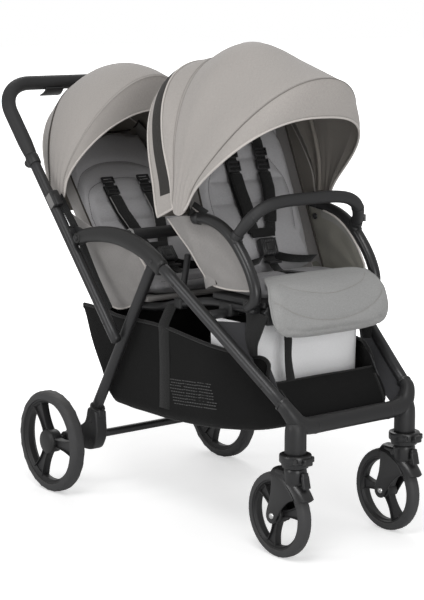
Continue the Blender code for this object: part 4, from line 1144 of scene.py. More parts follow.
def makeCushions():
    front = {"origin": (0, -0.4700, 0.5320), "along": (0, -1, 0), "out": (0, 0, 1), "width": 0.292,
             "length": 0.170, "thick": 0.024, "crown": 0.005, "taper": 0.0, "corner": 0.35, "bolster": 0.006}
    rear = {"origin": (0, -0.0980, 0.4833), "along": (0, -1, 0.06), "out": (0, 0, 1), "width": 0.292,
            "length": 0.154, "thick": 0.021, "crown": 0.005, "taper": 0.0, "corner": 0.35, "bolster": 0.006}
    for name, spec in (("front", front), ("rear", rear)):
        deep = spec["length"]
        seams = [arcLine([(0.096, 0.0), (0.100, deep * 0.5), (0.104, deep)]),
                 arcLine([(-0.096, 0.0), (-0.100, deep * 0.5), (-0.104, deep)]),
                 arcLine([(-0.100, deep * 0.46), (0.0, deep * 0.43), (0.100, deep * 0.46)]),
                 arcLine([(-0.103, deep * 0.86), (0.0, deep * 0.84), (0.103, deep * 0.86)])]
        makePad(f"{name}SeatCushion", spec, seams, "chassis", f"{name}_seat_cushion", "cushion", depth=0.0045,
                width=0.006, stitched=(3,))


makeCushions()


# The side panels of each seat. They lie between the frame and the backrest.
wingShapes = {
    "front": {
        "low": [(-0.4524, 0.5404), (-0.4760, 0.5320), (-0.5200, 0.5300), (-0.5700, 0.5330), (-0.6180, 0.5390)],
        "high": [(-0.3600, 0.6640), (-0.4080, 0.6740), (-0.4640, 0.6700), (-0.5150, 0.6590), (-0.5560, 0.6350),
                 (-0.5920, 0.5990), (-0.6150, 0.5660)],
        "lowX": 0.1490, "highX": 0.1820, "outward": 0.010, "frontX": 0.1500,
        "blend": ((-0.52, 0.60), (-0.44, 0.60)),
    },
    "rear": {
        "low": [(-0.0857, 0.4491), (-0.1050, 0.4400), (-0.1408, 0.4361), (-0.1900, 0.4500), (-0.2333, 0.4694)],
        "high": [(0.0360, 0.6520), (-0.0300, 0.6250), (-0.1100, 0.6020), (-0.1900, 0.5880), (-0.2450, 0.5450)],
        "lowX": 0.1560, "highX": 0.1880, "outward": 0.008, "frontX": 0.1580,
        "blend": ((-0.20, 0.55), (-0.08, 0.55)),
    },
}


def makeWings():
    for name, c in wingShapes.items():
        for label, side, sign in bothSides:
            low, high = (evenPath([(0, *p) for p in smoothPath(c[k], 8)], 33) for k in ("low", "high"))
            rows = []
            for i in range(25):
                t = i / 24
                row = []
                for j, (a, b) in enumerate(zip(low, high)):
                    s = j / 32
                    p = a.lerp(b, t)
                    rearness = (1 - s) ** 1.4
                    x = c["frontX"] + (c["lowX"] - c["frontX"]) * (1 - t) \
                        + (c["highX"] - c["frontX"]) * rearness * t**1.3
                    belly = c["outward"] * math.sin(math.pi * t) * math.sin(math.pi * min(s * 1.1, 1.0)) ** 0.7
                    # long folds fan out from the lower front corner
                    fan = math.atan2(t, 1.04 - s)
                    fold = 0.0013 * math.sin(fan * 13 + sign) * math.sin(math.pi * t) ** 0.7 * min(1.4 - s, 1.0)
                    cover = min(max((0.652 - p.z) / 0.030, 0), 1) * min(max((p.y + 0.505) / 0.030, 0), 1)
                    back = min(max((p.y + 0.440) / 0.060, 0), 1)
                    limit = 0.152 + 0.0055 * cover + 0.040 * back * back * (3 - 2 * back) if name == "front" else 1.0
                    x = min(x + belly * (0.35 if name == "front" else 1.0), limit) + fold
                    row.append((sign * x, p.y, p.z))
                rows.append(row)
            bm = newBmesh()
            # inside, the upper front has a border of another cloth
            rows, _ = addCloth(bm, rows, 0.0016, side=-sign, innerAt=lambda i, j: 2 if i > 20 and j > 11 else 1)
            piece = f"{name}Wing{label}"
            made = keepPiece(piece, bm, ["seatFlat", "innerWing", "wingBorder"], None,
                             [f"{name}_wing_{side}"])
            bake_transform(made)
            bm = newBmesh()
            addSweep(bm, rows[0], circle(0.0020, 8), domed=0.001)
            addSweep(bm, [*rows[-1][13:], *[row[-1] for row in reversed(rows[:-1])]], circle(0.0022, 8),
                     domed=0.001)
            keepPiece(piece + "Piping", bm, ["piping"], "chassis")
            piped = newBmesh()
            addSweep(piped, [row[0] for row in rows], circle(0.0018, 8), domed=0.001)
            edge = keepPiece(piece + "RearPiping", piped, ["piping"], None)
            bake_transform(edge)


makeWings()


# The pad is made flat, then laid along this line from the cushion's top over its front edge.
restLine = [(-0.5980, 0.5625), (-0.6150, 0.5615), (-0.6340, 0.5570), (-0.6545, 0.5430), (-0.6690, 0.5200),
            (-0.6800, 0.4870), (-0.6900, 0.4450)]


restSteps = evenPath([(0, y, z) for y, z in smoothPath(restLine, 10)], 121)
restLength = sum((b - a).length for a, b in zip(restSteps, restSteps[1:]))
# how thick and how wide the pad is along the line
restThick = ((0.0, 0.12), (0.22, 0.22), (0.5, 0.9), (1.0, 1.0))
restWide = ((0.0, 0.86), (0.3, 0.89), (0.5, 0.97), (1.0, 1.0))


def layAlong(points):
    last = len(restSteps) - 1
    steps, whole, ends = restSteps, restLength, last - 0.001
    found = []
    for x, y, z in points:
        v = min(max(-y / whole, 0.0), 1.0) * ends
        i = int(v)
        along = steps[i + 1] - steps[i]
        out = Vector((0, along.z, -along.y)).normalized()
        thin, wide = (np.interp(v / last, *zip(*table)) for table in (restThick, restWide))
        found.append(steps[i] + along * (v - i) + out * (z * thin) + Vector((x * wide, 0, 0))
                     + along.normalized() * (-y - v / ends * whole))
    return found


def makeFootrest():
    whole = restLength
    spec = {"origin": (0, -axleY, 0), "along": (0, -1, 0), "out": (0, 0, 1), "width": 0.329, "length": whole,
            "thick": 0.020, "crown": 0.005, "taper": 0.0, "corner": 0.85, "shrink": 0.003}
    arcs = [arcLine([(-0.132, 0.052), (-0.090, 0.072), (0.0, 0.086), (0.090, 0.072), (0.132, 0.052)]),
            arcLine([(-0.150, 0.090), (-0.115, 0.114), (-0.060, 0.132), (0.0, 0.138), (0.060, 0.132), (0.115, 0.114),
                     (0.150, 0.090)])]
    ring, inner = [], []
    for i in range(121):
        a = math.radians(250 * i / 120 - 125)
        u, reach = math.sin(a), math.cos(a)
        pull = max(abs(u), abs(reach))
        u, reach = u / pull, reach / pull
        k = 1 - spec["corner"] + spec["corner"] / (abs(u) ** 4 + abs(reach) ** 4) ** 0.25
        for line, inset in ((ring, 0.0030), (inner, 0.0120)):
            line.append((u * k * (spec["width"] / 2 - inset), (reach * k + 1) / 2 * (whole - 2 * inset) + inset))
    made = keepPiece("footrestPad", padMesh(spec), ["rest"], None, ["footrest_pad"], sharp=180)
    swell(made, 0.006)
    subdivide(made)
    # the filled pad has drawn in at its sides, and it is stretched back to its cut size before it is laid
    hem = spec["shrink"]
    flat = readPoints(made.data)
    low, high = flat[:, 1].min(), flat[:, 1].max()
    flat[:, 0] *= (spec["width"] / 2 - hem) / np.abs(flat[:, 0]).max()
    flat[:, 1] = -hem - (high - flat[:, 1]) / (high - low) * (whole - 2 * hem)
    writePoints(made.data, flat)
    pressSeams(made, spec, arcs, 0.0030, 0.005)
    pressSeams(made, spec, [inner], 0.0022, 0.0035)
    lines = onSurface(made, spec, arcs)
    writePoints(made.data, [p + axleShift for p in layAlong([Vector(p) for p in readPoints(made.data)])])
    paint(made, "rest")
    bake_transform(made)
    lines = [layAlong([p + axleShift for p in line]) for line in lines]
    threads = sewStitches("footrestPadStitches", lines, None, "thread", spacing=0.0042, length=0.0028)
    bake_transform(threads)
    bm = newBmesh()
    edge = layAlong([Vector((a, -b, 0.0)) for a, b in ring])
    addSweep(bm, evenPath(edge, 161), circle(0.0025, 8), domed=0.001)
    piping = keepPiece("footrestPiping", bm, ["restPiping"], None)
    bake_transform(piping)


makeFootrest()
print("pads and side panels")


# Wheels, forks and the swivel locks
rearTrack, frontTrack = 0.502, 0.303
rearAxleZ, frontAxleZ = 0.1173, 0.0890
frontAxleY, stemY = -0.6960, -0.7440
tyreShapes = {
    "rear": {"radius": rearAxleZ, "width": 0.0340, "height": 0.0175, "grooves": 22.0, "depth": 0.0010, "slant": 2.2},
    "front": {"radius": frontAxleZ, "width": 0.0280, "height": 0.0155, "grooves": 44.0, "depth": 0.0004,
              "slant": 0.0},
}


def tyreLoop(width, height):
    half = width / 2
    points = []
    for i in range(41):
        a = math.pi * i / 40
        points.append((half * math.copysign(abs(math.cos(a)) ** 0.62, math.cos(a)),
                       -height + height * abs(math.sin(a)) ** 0.72))
    points += [(-half * 0.72, -height - 0.0010), (-half * 0.45, -height - 0.0014),
               (half * 0.45, -height - 0.0014), (half * 0.72, -height - 0.0010)]
    return points


def makeTyre(name, c, centre, body):
    base = bpy.data.meshes.new("tyreSection")
    loop = tyreLoop(c["width"], c["height"])
    base.from_pydata([(y, x, 0) for x, y in loop], [(i, (i + 1) % len(loop)) for i in range(len(loop))], [])
    mesh = runTree(base, tyreTree, {
        "Radius": c["radius"], "Half Width": c["width"] / 2, "Segments": 432, "Grooves": c["grooves"],
        "Depth": c["depth"], "Slant": c["slant"], "Groove Width": 0.10, "Rubber": finish["tyre"]})
    bm = bmesh.new()
    bm.from_mesh(mesh)
    bmesh.ops.rotate(bm, cent=(0, 0, 0), matrix=Matrix.Rotation(math.radians(90), 3, "Y"), verts=bm.verts)
    bmesh.ops.recalc_face_normals(bm, faces=bm.faces)
    bm.to_mesh(mesh)
    bm.free()
    keepMesh(name, mesh, body, [name], moved=Vector(centre) + axleShift, sharp=60)


# A spoked rim: a ring with raised lips, a hub, and spokes that are channels with raised edges.
def addRim(bm, c, centre, phase):
    outer, inner, half = c["outer"], c["inner"], c["half"]
    addLathe(bm, [(outer, -half), (outer - 0.0010, -half - 0.0012), (outer - 0.0042, -half - 0.0012),
                  (outer - 0.0052, -half + 0.0006), (inner + 0.0024, -half * 0.72), (inner, -half * 0.55),
                  (inner, half * 0.55), (inner + 0.0024, half * 0.72), (outer - 0.0052, half - 0.0006),
                  (outer - 0.0042, half + 0.0012), (outer - 0.0010, half + 0.0012), (outer, half)],
             centre, "X", 96, closed=True)
    hub, depth = c["hub"], c["hubHalf"]
    face = [(0.0, -depth), (hub * 0.80, -depth), (hub * 0.94, -depth + 0.0015), (hub, -depth + 0.004),
            (hub, depth - 0.004), (hub * 0.94, depth - 0.0015), (hub * 0.80, depth), (0.0, depth)]
    addLathe(bm, face, centre, "X", 48)
    centre = Vector(centre)
    for k in range(3):
        turn = 2 * math.pi * (k + phase) / 3
        out = Vector((0, math.cos(turn), math.sin(turn)))
        over = Vector((0, -math.sin(turn), math.cos(turn)))
        rows = []
        for i in range(15):
            t = i / 14
            r = hub * 0.80 + (inner + 0.0012 - hub * 0.80) * t
            wide = c["spokeHub"] + (c["spokeRim"] - c["spokeHub"]) * t**1.5 - 0.0022 * math.sin(math.pi * t)
            rows.append((r, wide))
        web = c["web"]
        corners = ((-1, -web), (1, -web), (1, web), (-1, web))
        rings = [[bm.verts.new(centre + out * r + over * (a * wide) + Vector((b, 0, 0))) for a, b in corners]
                 for r, wide in rows]
        for p, q in zip(rings, rings[1:]):
            for j in range(4):
                m = (j + 1) % 4
                faceWithUv(bm, [p[j], p[m], q[m], q[j]], [(0, 0)] * 4, 0)
        faceWithUv(bm, list(reversed(rings[0])), [(0, 0)] * 4, 0)
        faceWithUv(bm, rings[-1], [(0, 0)] * 4, 0)
        for lean in (-1, 1):
            line = [centre + out * r + over * (lean * wide) for r, wide in rows]
            heights = [1.0 - 0.10 * math.sin(math.pi * i / 14) for i in range(15)]
            addSweep(bm, line, squareRound(c["half"] * 0.86, 0.0016, 0.35, 0.6, 16), side=(1, 0, 0), scales=heights)


rimShapes = {
    "rear": {"outer": 0.1000, "inner": 0.0900, "half": 0.0125, "hub": 0.0265, "hubHalf": 0.0150,
             "spokeHub": 0.0095, "spokeRim": 0.0175, "web": 0.0045},
    "front": {"outer": 0.0738, "inner": 0.0655, "half": 0.0105, "hub": 0.0175, "hubHalf": 0.0135,
              "spokeHub": 0.0075, "spokeRim": 0.0130, "web": 0.0038},
}
spokeTurn = {"rear_left": 0.5, "rear_right": 0.5, "front_left": 0.0, "front_right": 0.375}


def makeWheels():
    def wheels(label, side, sign):
        rear = (sign * rearTrack / 2, 0.0, rearAxleZ)
        front = (sign * frontTrack / 2, frontAxleY, frontAxleZ)
        makeTyre(f"rear_{side}_tyre", tyreShapes["rear"], rear, f"rear_wheel_{side}")
        makeTyre(f"front_{side}_tyre", tyreShapes["front"], front, f"front_wheel_{side}")
        bm = newBmesh()
        addRim(bm, rimShapes["rear"], rear, spokeTurn[f"rear_{side}"])
        # smooth hub cap on the outer side
        cap = facing([(0.0, 0.0205), (0.0120, 0.0202), (0.0210, 0.0190), (0.0262, 0.0168), (0.0285, 0.0135),
                      (0.0285, 0.0090), (0.0, 0.0090)], sign)
        addLathe(bm, cap, rear, "X", 48, index=1)
        keepPiece(f"rearRim{label}", bm, ["plastic", "armrest"], f"rear_wheel_{side}",
                  [f"rear_{side}_rim"])
        bm = newBmesh()
        addRim(bm, rimShapes["front"], front, spokeTurn[f"front_{side}"])
        keepPiece(f"frontRim{label}", bm, ["plastic"], f"front_wheel_{side}",
                  [f"front_{side}_rim"])
    mirrored(wheels)


def makeForks():
    def fork(label, side, sign):
        x0 = sign * frontTrack / 2
        bm = newBmesh()
        # two leaf-shaped cheeks run from the head down to the axle
        outline = smoothPath([(-0.7642, 0.1366), (-0.7457, 0.1278), (-0.7271, 0.1108), (-0.7100, 0.0860),
                              (-0.7040, 0.0755), (-0.6950, 0.0718), (-0.6850, 0.0740), (-0.6780, 0.0835),
                              (-0.6795, 0.0995), (-0.6889, 0.1273), (-0.6925, 0.1535), (-0.6930, 0.1720),
                              (-0.7037, 0.1776), (-0.7189, 0.1733), (-0.7341, 0.1654), (-0.7492, 0.1537)], 6)
        for cheek in (-1, 1):
            low, high = sorted((x0 + cheek * 0.0168, x0 + cheek * 0.0220))
            addPlate(bm, outline, low, high, rounding=0.0024)
        # the fender is a crowned band over the wheel that ends in a short lip in front
        rows = []
        for i in range(33):
            t = i / 32
            a = math.radians(149 - 62 * t)
            row = []
            for j in range(21):
                u = 2 * j / 20 - 1
                r = 0.0985 - 0.0120 * abs(u) ** 3.2 + 0.0040 * max(0.25 - t, 0.0) * 4 * (1 - abs(u) ** 2)
                end = math.radians(5) * max(0.2 - t, 0.0) * 5 * (1 - abs(u) ** 1.5)
                row.append((x0 + 0.0214 * u, frontAxleY + r * math.cos(a + end), frontAxleZ + r * math.sin(a + end)))
            rows.append(row)
        addCloth(bm, rows, 0.0026, side=-1, inner=0)
        # head with its swivel ring, neck and round side detail
        addLathe(bm, [(0.0, 0.1600), (0.0185, 0.1600), (0.0215, 0.1640), (0.0232, 0.1720), (0.0236, 0.1900),
                      (0.0228, 0.1955), (0.0205, 0.1980), (0.0, 0.1980)], (x0, stemY, 0), "Z", 48)
        addBox(bm, (x0, stemY + 0.0230, 0.1780), (0.0395, 0.0420, 0.0240), rounding=0.0060, segments=4)
        for sideOf in (-1, 1):
            cap = facing([(0.0068, -0.0030), (0.0068, 0.0016), (0.0060, 0.0024), (0.0044, 0.0024),
                          (0.0036, 0.0014), (0.0, 0.0014), (0.0, -0.0030)], sideOf)
            addLathe(bm, cap, (x0 + sideOf * 0.0196, stemY + 0.0135, 0.1800), "X", 24)
        keepPiece(f"casterFork{label}", bm, ["gloss"], f"caster_{side}", [f"caster_fork_{side}"])
        bm = newBmesh()
        # bright caps on the ends of the axle
        for cheek in (-1, 1):
            cap = facing([(0.0, 0.0042), (0.0028, 0.0040), (0.0048, 0.0032), (0.0062, 0.0018), (0.0066, 0.0),
                          (0.0, 0.0)], cheek)
            addLathe(bm, cap, (x0 + cheek * 0.0214, frontAxleY, frontAxleZ), "X", 32)
        keepPiece(f"axleCaps{label}", bm, ["steel"], f"caster_{side}")
        # swivel lock lever in front of the head, with a small step at its top
        bm = newBmesh()
        turn = Matrix.Rotation(math.radians(-14), 3, "X")
        addBox(bm, (x0, -0.7765, 0.1725), (0.0185, 0.0070, 0.0270), rounding=0.0024, turn=turn, segments=4)
        addBox(bm, (x0, -0.7735, 0.1865), (0.0150, 0.0075, 0.0110), rounding=0.0022, turn=turn, segments=4)
        keepPiece(f"swivelLever{label}", bm, ["gloss"], f"swivel_catch_{side}",
                  [f"swivel_lock_{side}"])
    mirrored(fork)


makeWheels()
makeForks()
print("wheels and forks")


# Frame tubes, moulded crossbar, collars and rear axle
armrestX, rearLegX, handleX = 0.222, 0.193, 0.2225
legTop, legFoot = Vector((0.2262, -0.4035, 0.5660)), Vector((0.1690, -0.7220, 0.3260))


def mixLine(a, b, count):
    return [tuple(Vector(a).lerp(Vector(b), i / count)) for i in range(count + 1)]


def makeFrontLegs():
    def leg(label, side, sign):
        flip = Vector((sign, 1, 1))
        top, foot = legTop * flip, legFoot * flip
        bm = newBmesh()
        addTube(bm, mixLine(top, foot, 12), 0.0125, sides=40)
        keepPiece(f"frontLeg{label}", bm, ["tube"], "chassis", [f"front_leg_{side}"])
        down = (foot - top).normalized()
        outward = (Vector((sign, 0, 0)) - down * down.x * sign).normalized()
        places = []
        for share in (0.115, 0.86):
            place = top.lerp(foot, share) + outward * 0.0124
            places.append((tuple(place), tuple(outward)))
        setRivets(f"legRivets{label}", places, "chassis", radius=0.0042, height=0.0018, metal="armrest")
    mirrored(leg)


# The bar across the front is one moulding: its ends take the legs and its sockets take the casters.
def makeCrossbar():
    direction = (legTop - legFoot).normalized()
    start = legFoot - direction * 0.0003
    corner = start - direction * 0.015
    half = smoothPath([tuple(start), tuple(corner), (0.1575, -0.7420, 0.3010), (0.1470, -0.7440, 0.2880),
                       (0.1290, -0.7440, 0.2800), (0.1050, -0.7420, 0.2772), (0.0700, -0.7400, 0.2768),
                       (0.0, -0.7390, 0.2765)], 8)
    path = evenPath([(-x, y, z) for x, y, z in half] + half[-2::-1], 97)
    radii = []
    for x, y, z in path:
        wide = min(max((0.326 - z) / 0.045, 0.0), 1.0)
        radii.append((0.0146 + 0.0044 * wide * wide * (3 - 2 * wide)) / 0.019)
    bm = newBmesh()
    addSweep(bm, path, squareRound(0.019, 0.0178, 0.82, 0.82, 36), scales=radii, side=(0, 1, 0.3), domed=0.002)
    # the sockets that take the casters
    for sign in (1, -1):
        x = sign * frontTrack / 2
        addLathe(bm, [(0.0, 0.2225), (0.0205, 0.2225), (0.0218, 0.2240), (0.0222, 0.2300), (0.0222, 0.2620),
                      (0.0216, 0.2760), (0.0190, 0.2880), (0.0120, 0.2940), (0.0, 0.2950)], (x, stemY, 0), "Z", 48)
    keepPiece("frontCrossbar", bm, ["plastic"], "chassis", ["front_crossbar"], sharp=60)
    bm = newBmesh()
    for sign in (1, -1):
        # a fine split beside each socket
        ring = []
        for i in range(41):
            a = math.pi * (0.02 + 0.96 * i / 40)
            ring.append((sign * 0.1010, -0.7415 - 0.0194 * math.sin(a), 0.2772 + 0.0182 * math.cos(a)))
        addSweep(bm, ring, circle(0.0006, 6))
        # collar where the leg enters the moulding
        flip = Vector((sign, 1, 1))
        addLathe(bm, [(0.0126, -0.0030), (0.0156, -0.0026), (0.0160, 0.0016), (0.0150, 0.0030), (0.0126, 0.0030)],
                 start * flip, direction * flip, 40, closed=True)
    keepPiece("crossbarLines", bm, ["gloss"], "chassis")


def makeCollars():
    def collar(label, side, sign):
        x = sign * frontTrack / 2
        bm = newBmesh()
        addLathe(bm, [(0.0235, 0.1988), (0.0268, 0.1992), (0.0284, 0.2030), (0.0292, 0.2080), (0.0322, 0.2096),
                      (0.0330, 0.2112), (0.0330, 0.2236), (0.0320, 0.2252), (0.0290, 0.2262), (0.0262, 0.2262),
                      (0.0250, 0.2250), (0.0225, 0.2246), (0.0225, 0.1990)], (x, stemY, 0), "Z", 56, closed=True)
        addBox(bm, (x, stemY - 0.0350, 0.2150), (0.0210, 0.0160, 0.0150), rounding=0.0032, segments=4)
        # two lugs beside the tab, and the small rear clip
        for aside in (-1, 1):
            addBox(bm, (x + aside * 0.0215, stemY - 0.0250, 0.2165), (0.0080, 0.0100, 0.0120), rounding=0.0020)
        addBox(bm, (x, stemY + 0.0325, 0.2160), (0.0160, 0.0060, 0.0120), rounding=0.0020)
        keepPiece(f"casterCollar{label}", bm, ["gloss"], "chassis",
                  [f"caster_collar_{side}"])
    mirrored(collar)


def makeArmrests():
    line = [(-0.0850, 0.5970), (-0.1200, 0.6070), (-0.1800, 0.6150), (-0.2400, 0.6150), (-0.3000, 0.6050),
            (-0.3500, 0.5880), (-0.3905, 0.5660)]

    def armrest(label, side, sign):
        x = sign * armrestX
        path = smoothPath([(x, y, z) for y, z in line], 8)
        last = len(path) - 1
        radii = [(0.0145 + 0.0050 * math.sin(min(i / last * 1.35, 1.0) * math.pi / 2)) / 0.019
                 for i in range(len(path))]
        bm = newBmesh()
        addSweep(bm, path, squareRound(0.0133, 0.019, 0.86, 0.90, 36), scales=radii, side=(1, 0, 0), domed=0.007)
        cap = [(0.0, -0.0118), (0.0096, -0.0118), (0.0112, -0.0110), (0.0118, -0.0090), (0.0118, 0.0090),
               (0.0112, 0.0110), (0.0096, 0.0118), (0.0, 0.0118)]
        addLathe(bm, cap, (x, -0.0850, 0.5970), "X", 40)
        keepPiece(f"armrest{label}", bm, ["armrest"], "chassis", [f"armrest_{side}"],
                  sharp=60)
        # the pivot cap on the outer face and the smaller screw in front
        bm = newBmesh()
        out = facing([(0.0, 0.0036), (0.0050, 0.0034), (0.0068, 0.0022), (0.0074, 0.0), (0.0, 0.0)], sign)
        addLathe(bm, out, (sign * (armrestX + 0.0126), -0.0850, 0.5970), "X", 32)
        addLathe(bm, [(r * 0.72, p * 0.8) for r, p in out], (sign * (armrestX + 0.0126), -0.3700, 0.5780), "X", 28)
        # ear to the rear leg
        low, high = sorted((sign * 0.2056, sign * 0.2150))
        ear = smoothPath([(-0.3180, 0.5960), (-0.3310, 0.5915), (-0.3430, 0.5800), (-0.3400, 0.5680),
                          (-0.3280, 0.5640), (-0.3170, 0.5700), (-0.3110, 0.5830), (-0.3120, 0.5930)], 4)
        addPlate(bm, ear, low, high, rounding=0.0012)
        keepPiece(f"armrestDetails{label}", bm, ["plastic"], "chassis")
    mirrored(armrest)


def makeSeatFrame():
    line = smoothPath([(-0.6400, 0.4945), (-0.5500, 0.4950), (-0.4650, 0.4945), (-0.3500, 0.4760),
                       (-0.2500, 0.4540), (-0.0900, 0.4456)], 6)
    bm = newBmesh()
    for x in (0.138, -0.138):
        addTube(bm, [(x, y, z) for y, z in line], 0.009, sides=28)
    addTube(bm, mixLine((-0.1922, -0.5130, 0.4791), (0.1922, -0.5130, 0.4791), 10), 0.010, sides=28)
    addTube(bm, mixLine((-0.138, -0.1800, 0.4451), (0.138, -0.1800, 0.4451), 8), 0.008, sides=24)
    keepPiece("seatFrame", bm, ["tube"], "chassis", ["seat_frame"])
    # plastic clamps on the cross tube and the dark brace that leans up behind the front seat
    bm = newBmesh()
    for sign in (1, -1):
        addBox(bm, (sign * 0.138, -0.5130, 0.4870), (0.0260, 0.0420, 0.0300), rounding=0.0060, segments=4)
        addTube(bm, smoothPath([(sign * 0.1380, -0.3480, 0.4760), (sign * 0.1400, -0.3560, 0.5060),
                                (sign * 0.1440, -0.3720, 0.5500), (sign * 0.1480, -0.3850, 0.5860)], 6), 0.0070,
                sides=20)
        addBox(bm, (sign * 0.1380, -0.3480, 0.4760), (0.0240, 0.0260, 0.0240), rounding=0.0050, segments=4)
        addBox(bm, (sign * 0.1380, -0.1000, 0.4470), (0.0230, 0.0260, 0.0220), rounding=0.0050, segments=4)
    keepPiece("seatClamps", bm, ["plastic"], "chassis")


def makeGuards():
    line = [(-0.4380, 0.6720), (-0.4780, 0.6730), (-0.5200, 0.6630), (-0.5580, 0.6420), (-0.5920, 0.6100),
            (-0.6180, 0.5750), (-0.6320, 0.5420), (-0.6290, 0.5200), (-0.6120, 0.5060)]

    def guard(label, side, sign):
        bm = newBmesh()
        addTube(bm, smoothPath([(sign * 0.165, y, z) for y, z in line], 8), 0.0120, sides=36, domed=0.004)
        keepPiece(f"sideGuard{label}", bm, ["gloss"], "chassis",
                  [f"front_side_guard_{side}"])
        bm = newBmesh()
        # the mount that the bumper plugs into, the lower end's clamp, and the end cap at the top
        addBox(bm, (sign * 0.165, -0.5680, 0.6370), (0.0246, 0.0250, 0.0200), rounding=0.0070,
               turn=Matrix.Rotation(math.radians(38), 3, "X"), segments=4)
        addBox(bm, (sign * 0.158, -0.6120, 0.5060), (0.0260, 0.0340, 0.0240), rounding=0.0060, segments=4)
        addLathe(bm, [(0.0, -0.0080), (0.0115, -0.0070), (0.0134, -0.0040), (0.0136, 0.0120), (0.0122, 0.0140),
                      (0.0, 0.0140)], (sign * 0.165, -0.4380, 0.6720), (0, -1, 0.03), 32)
        keepPiece(f"guardMounts{label}", bm, ["plastic"], "chassis")
    mirrored(guard)


def makeSeatPans():
    bm = newBmesh()
    addBox(bm, (0, -0.5540, 0.5110), (0.2960, 0.1720, 0.0140), rounding=0.0050, segments=3)
    # the carrier under the seat and the panel that drops behind the footrest
    addBox(bm, (0, -0.5750, 0.4970), (0.2500, 0.1200, 0.0160), rounding=0.0060, segments=3)
    addBox(bm, (0, -0.6380, 0.4890), (0.2860, 0.0130, 0.0400), rounding=0.0050, segments=3)
    keepPiece("frontSeatPan", bm, ["plastic"], "chassis", ["front_seat_pan"])
    bm = newBmesh()
    turn = Matrix.Rotation(math.radians(-3.4), 3, "X")
    addBox(bm, (0, -0.1650, 0.4650), (0.3000, 0.1500, 0.0120), rounding=0.0045, turn=turn, segments=3)
    keepPiece("rearSeatPan", bm, ["seatFlat"], "chassis", ["rear_seat_pan"])


def makeGrabBar():
    bm = newBmesh()
    addTube(bm, mixLine((-0.2085, -0.2050, 0.6120), (0.2085, -0.2050, 0.6120), 16), 0.0105, sides=32)
    addSweep(bm, mixLine((-0.1660, -0.2050, 0.6120), (0.1660, -0.2050, 0.6120), 24), circle(0.0142, 36, 0.86), index=1,
             domed=0.003)
    keepPiece("rearGrabBar", bm, ["armrest", "grip"], "chassis", ["rear_grab_bar"])
    bm = newBmesh()
    addLathe(bm, [(0.0107, -0.0024), (0.0136, -0.0022), (0.0141, -0.0014), (0.0141, 0.0014), (0.0136, 0.0022),
                  (0.0107, 0.0024)], (-0.1700, -0.2050, 0.6120), "X", 32, closed=True)
    keepPiece("grabBarRing", bm, ["seatPiping"], "chassis")


def makeRearLegs():
    def leg(label, side, sign):
        x = sign * rearLegX
        top, foot = (x, -0.3310, 0.5790), (x, -0.0985, 0.2050)
        bm = newBmesh()
        addTube(bm, mixLine(top, foot, 12), 0.0125, sides=40)
        keepPiece(f"rearLeg{label}", bm, ["tube"], "rear_legs", [f"rear_leg_{side}"])
        down = (Vector(foot) - Vector(top)).normalized()
        bm = newBmesh()
        outline = smoothPath([(-0.1170, 0.1990), (-0.1000, 0.2060), (-0.0840, 0.2040), (-0.0760, 0.1800),
                              (-0.0620, 0.1640), (-0.0150, 0.1420), (0.0090, 0.1340), (0.0160, 0.1200),
                              (0.0100, 0.1040), (-0.0100, 0.1010), (-0.0500, 0.1050), (-0.0950, 0.1090),
                              (-0.1130, 0.1280), (-0.1200, 0.1500), (-0.1185, 0.1750)], 4)
        addPlate(bm, outline, x - 0.0152, x + 0.0152, rounding=0.0040)
        # the sleeve that the leg stands in, with its flange and clamp ear
        addLathe(bm, [(0.0, -0.0300), (0.0150, -0.0300), (0.0158, -0.0260), (0.0158, 0.0060), (0.0176, 0.0072),
                      (0.0180, 0.0100), (0.0170, 0.0116), (0.0130, 0.0120), (0.0, 0.0120)],
                 (x, -0.0985, 0.2000), tuple(-down), 40)
        addBox(bm, (x, -0.1130, 0.1950), (0.0160, 0.0140, 0.0190), rounding=0.0040, segments=3)
        addLathe(bm, [(0.0, -0.0200), (0.0075, -0.0200), (0.0075, 0.0200), (0.0, 0.0200)],
                 (sign * 0.2240, 0, rearAxleZ), "X", 28)
        addLathe(bm, [(0.0, -0.0060), (0.0150, -0.0060), (0.0165, -0.0040), (0.0165, 0.0040), (0.0140, 0.0060),
                      (0.0, 0.0060)], (sign * 0.2120, 0, rearAxleZ), "X", 32)
        keepPiece(f"axleBracket{label}", bm, ["plastic"], "rear_legs",
                  [f"axle_bracket_{side}"], sharp=50)
        bm = newBmesh()
        base = Vector((x, -0.0985, 0.2000)) - down * 0.0108
        addLathe(bm, [(0.0128, -0.0007), (0.0150, -0.0007), (0.0150, 0.0010), (0.0128, 0.0010)], base,
                 tuple(-down), 40, closed=True)
        keepPiece(f"sleeveRing{label}", bm, ["steel"], "rear_legs")
        places = [((x + sign * 0.0150, y, z), (sign, 0, 0)) for y, z in ((-0.0985, 0.1760), (-0.0950, 0.1300))]
        setRivets(f"bracketRivets{label}", places, "rear_legs", radius=0.0045, height=0.0016,
                  metal="armrest")
    mirrored(leg)
    bm = newBmesh()
    addTube(bm, mixLine((-0.1776, -0.0980, 0.1430), (0.1776, -0.0980, 0.1430), 12), 0.0090, sides=32)
    keepPiece("rearAxleBar", bm, ["tube"], "rear_legs", ["rear_axle_bar"])


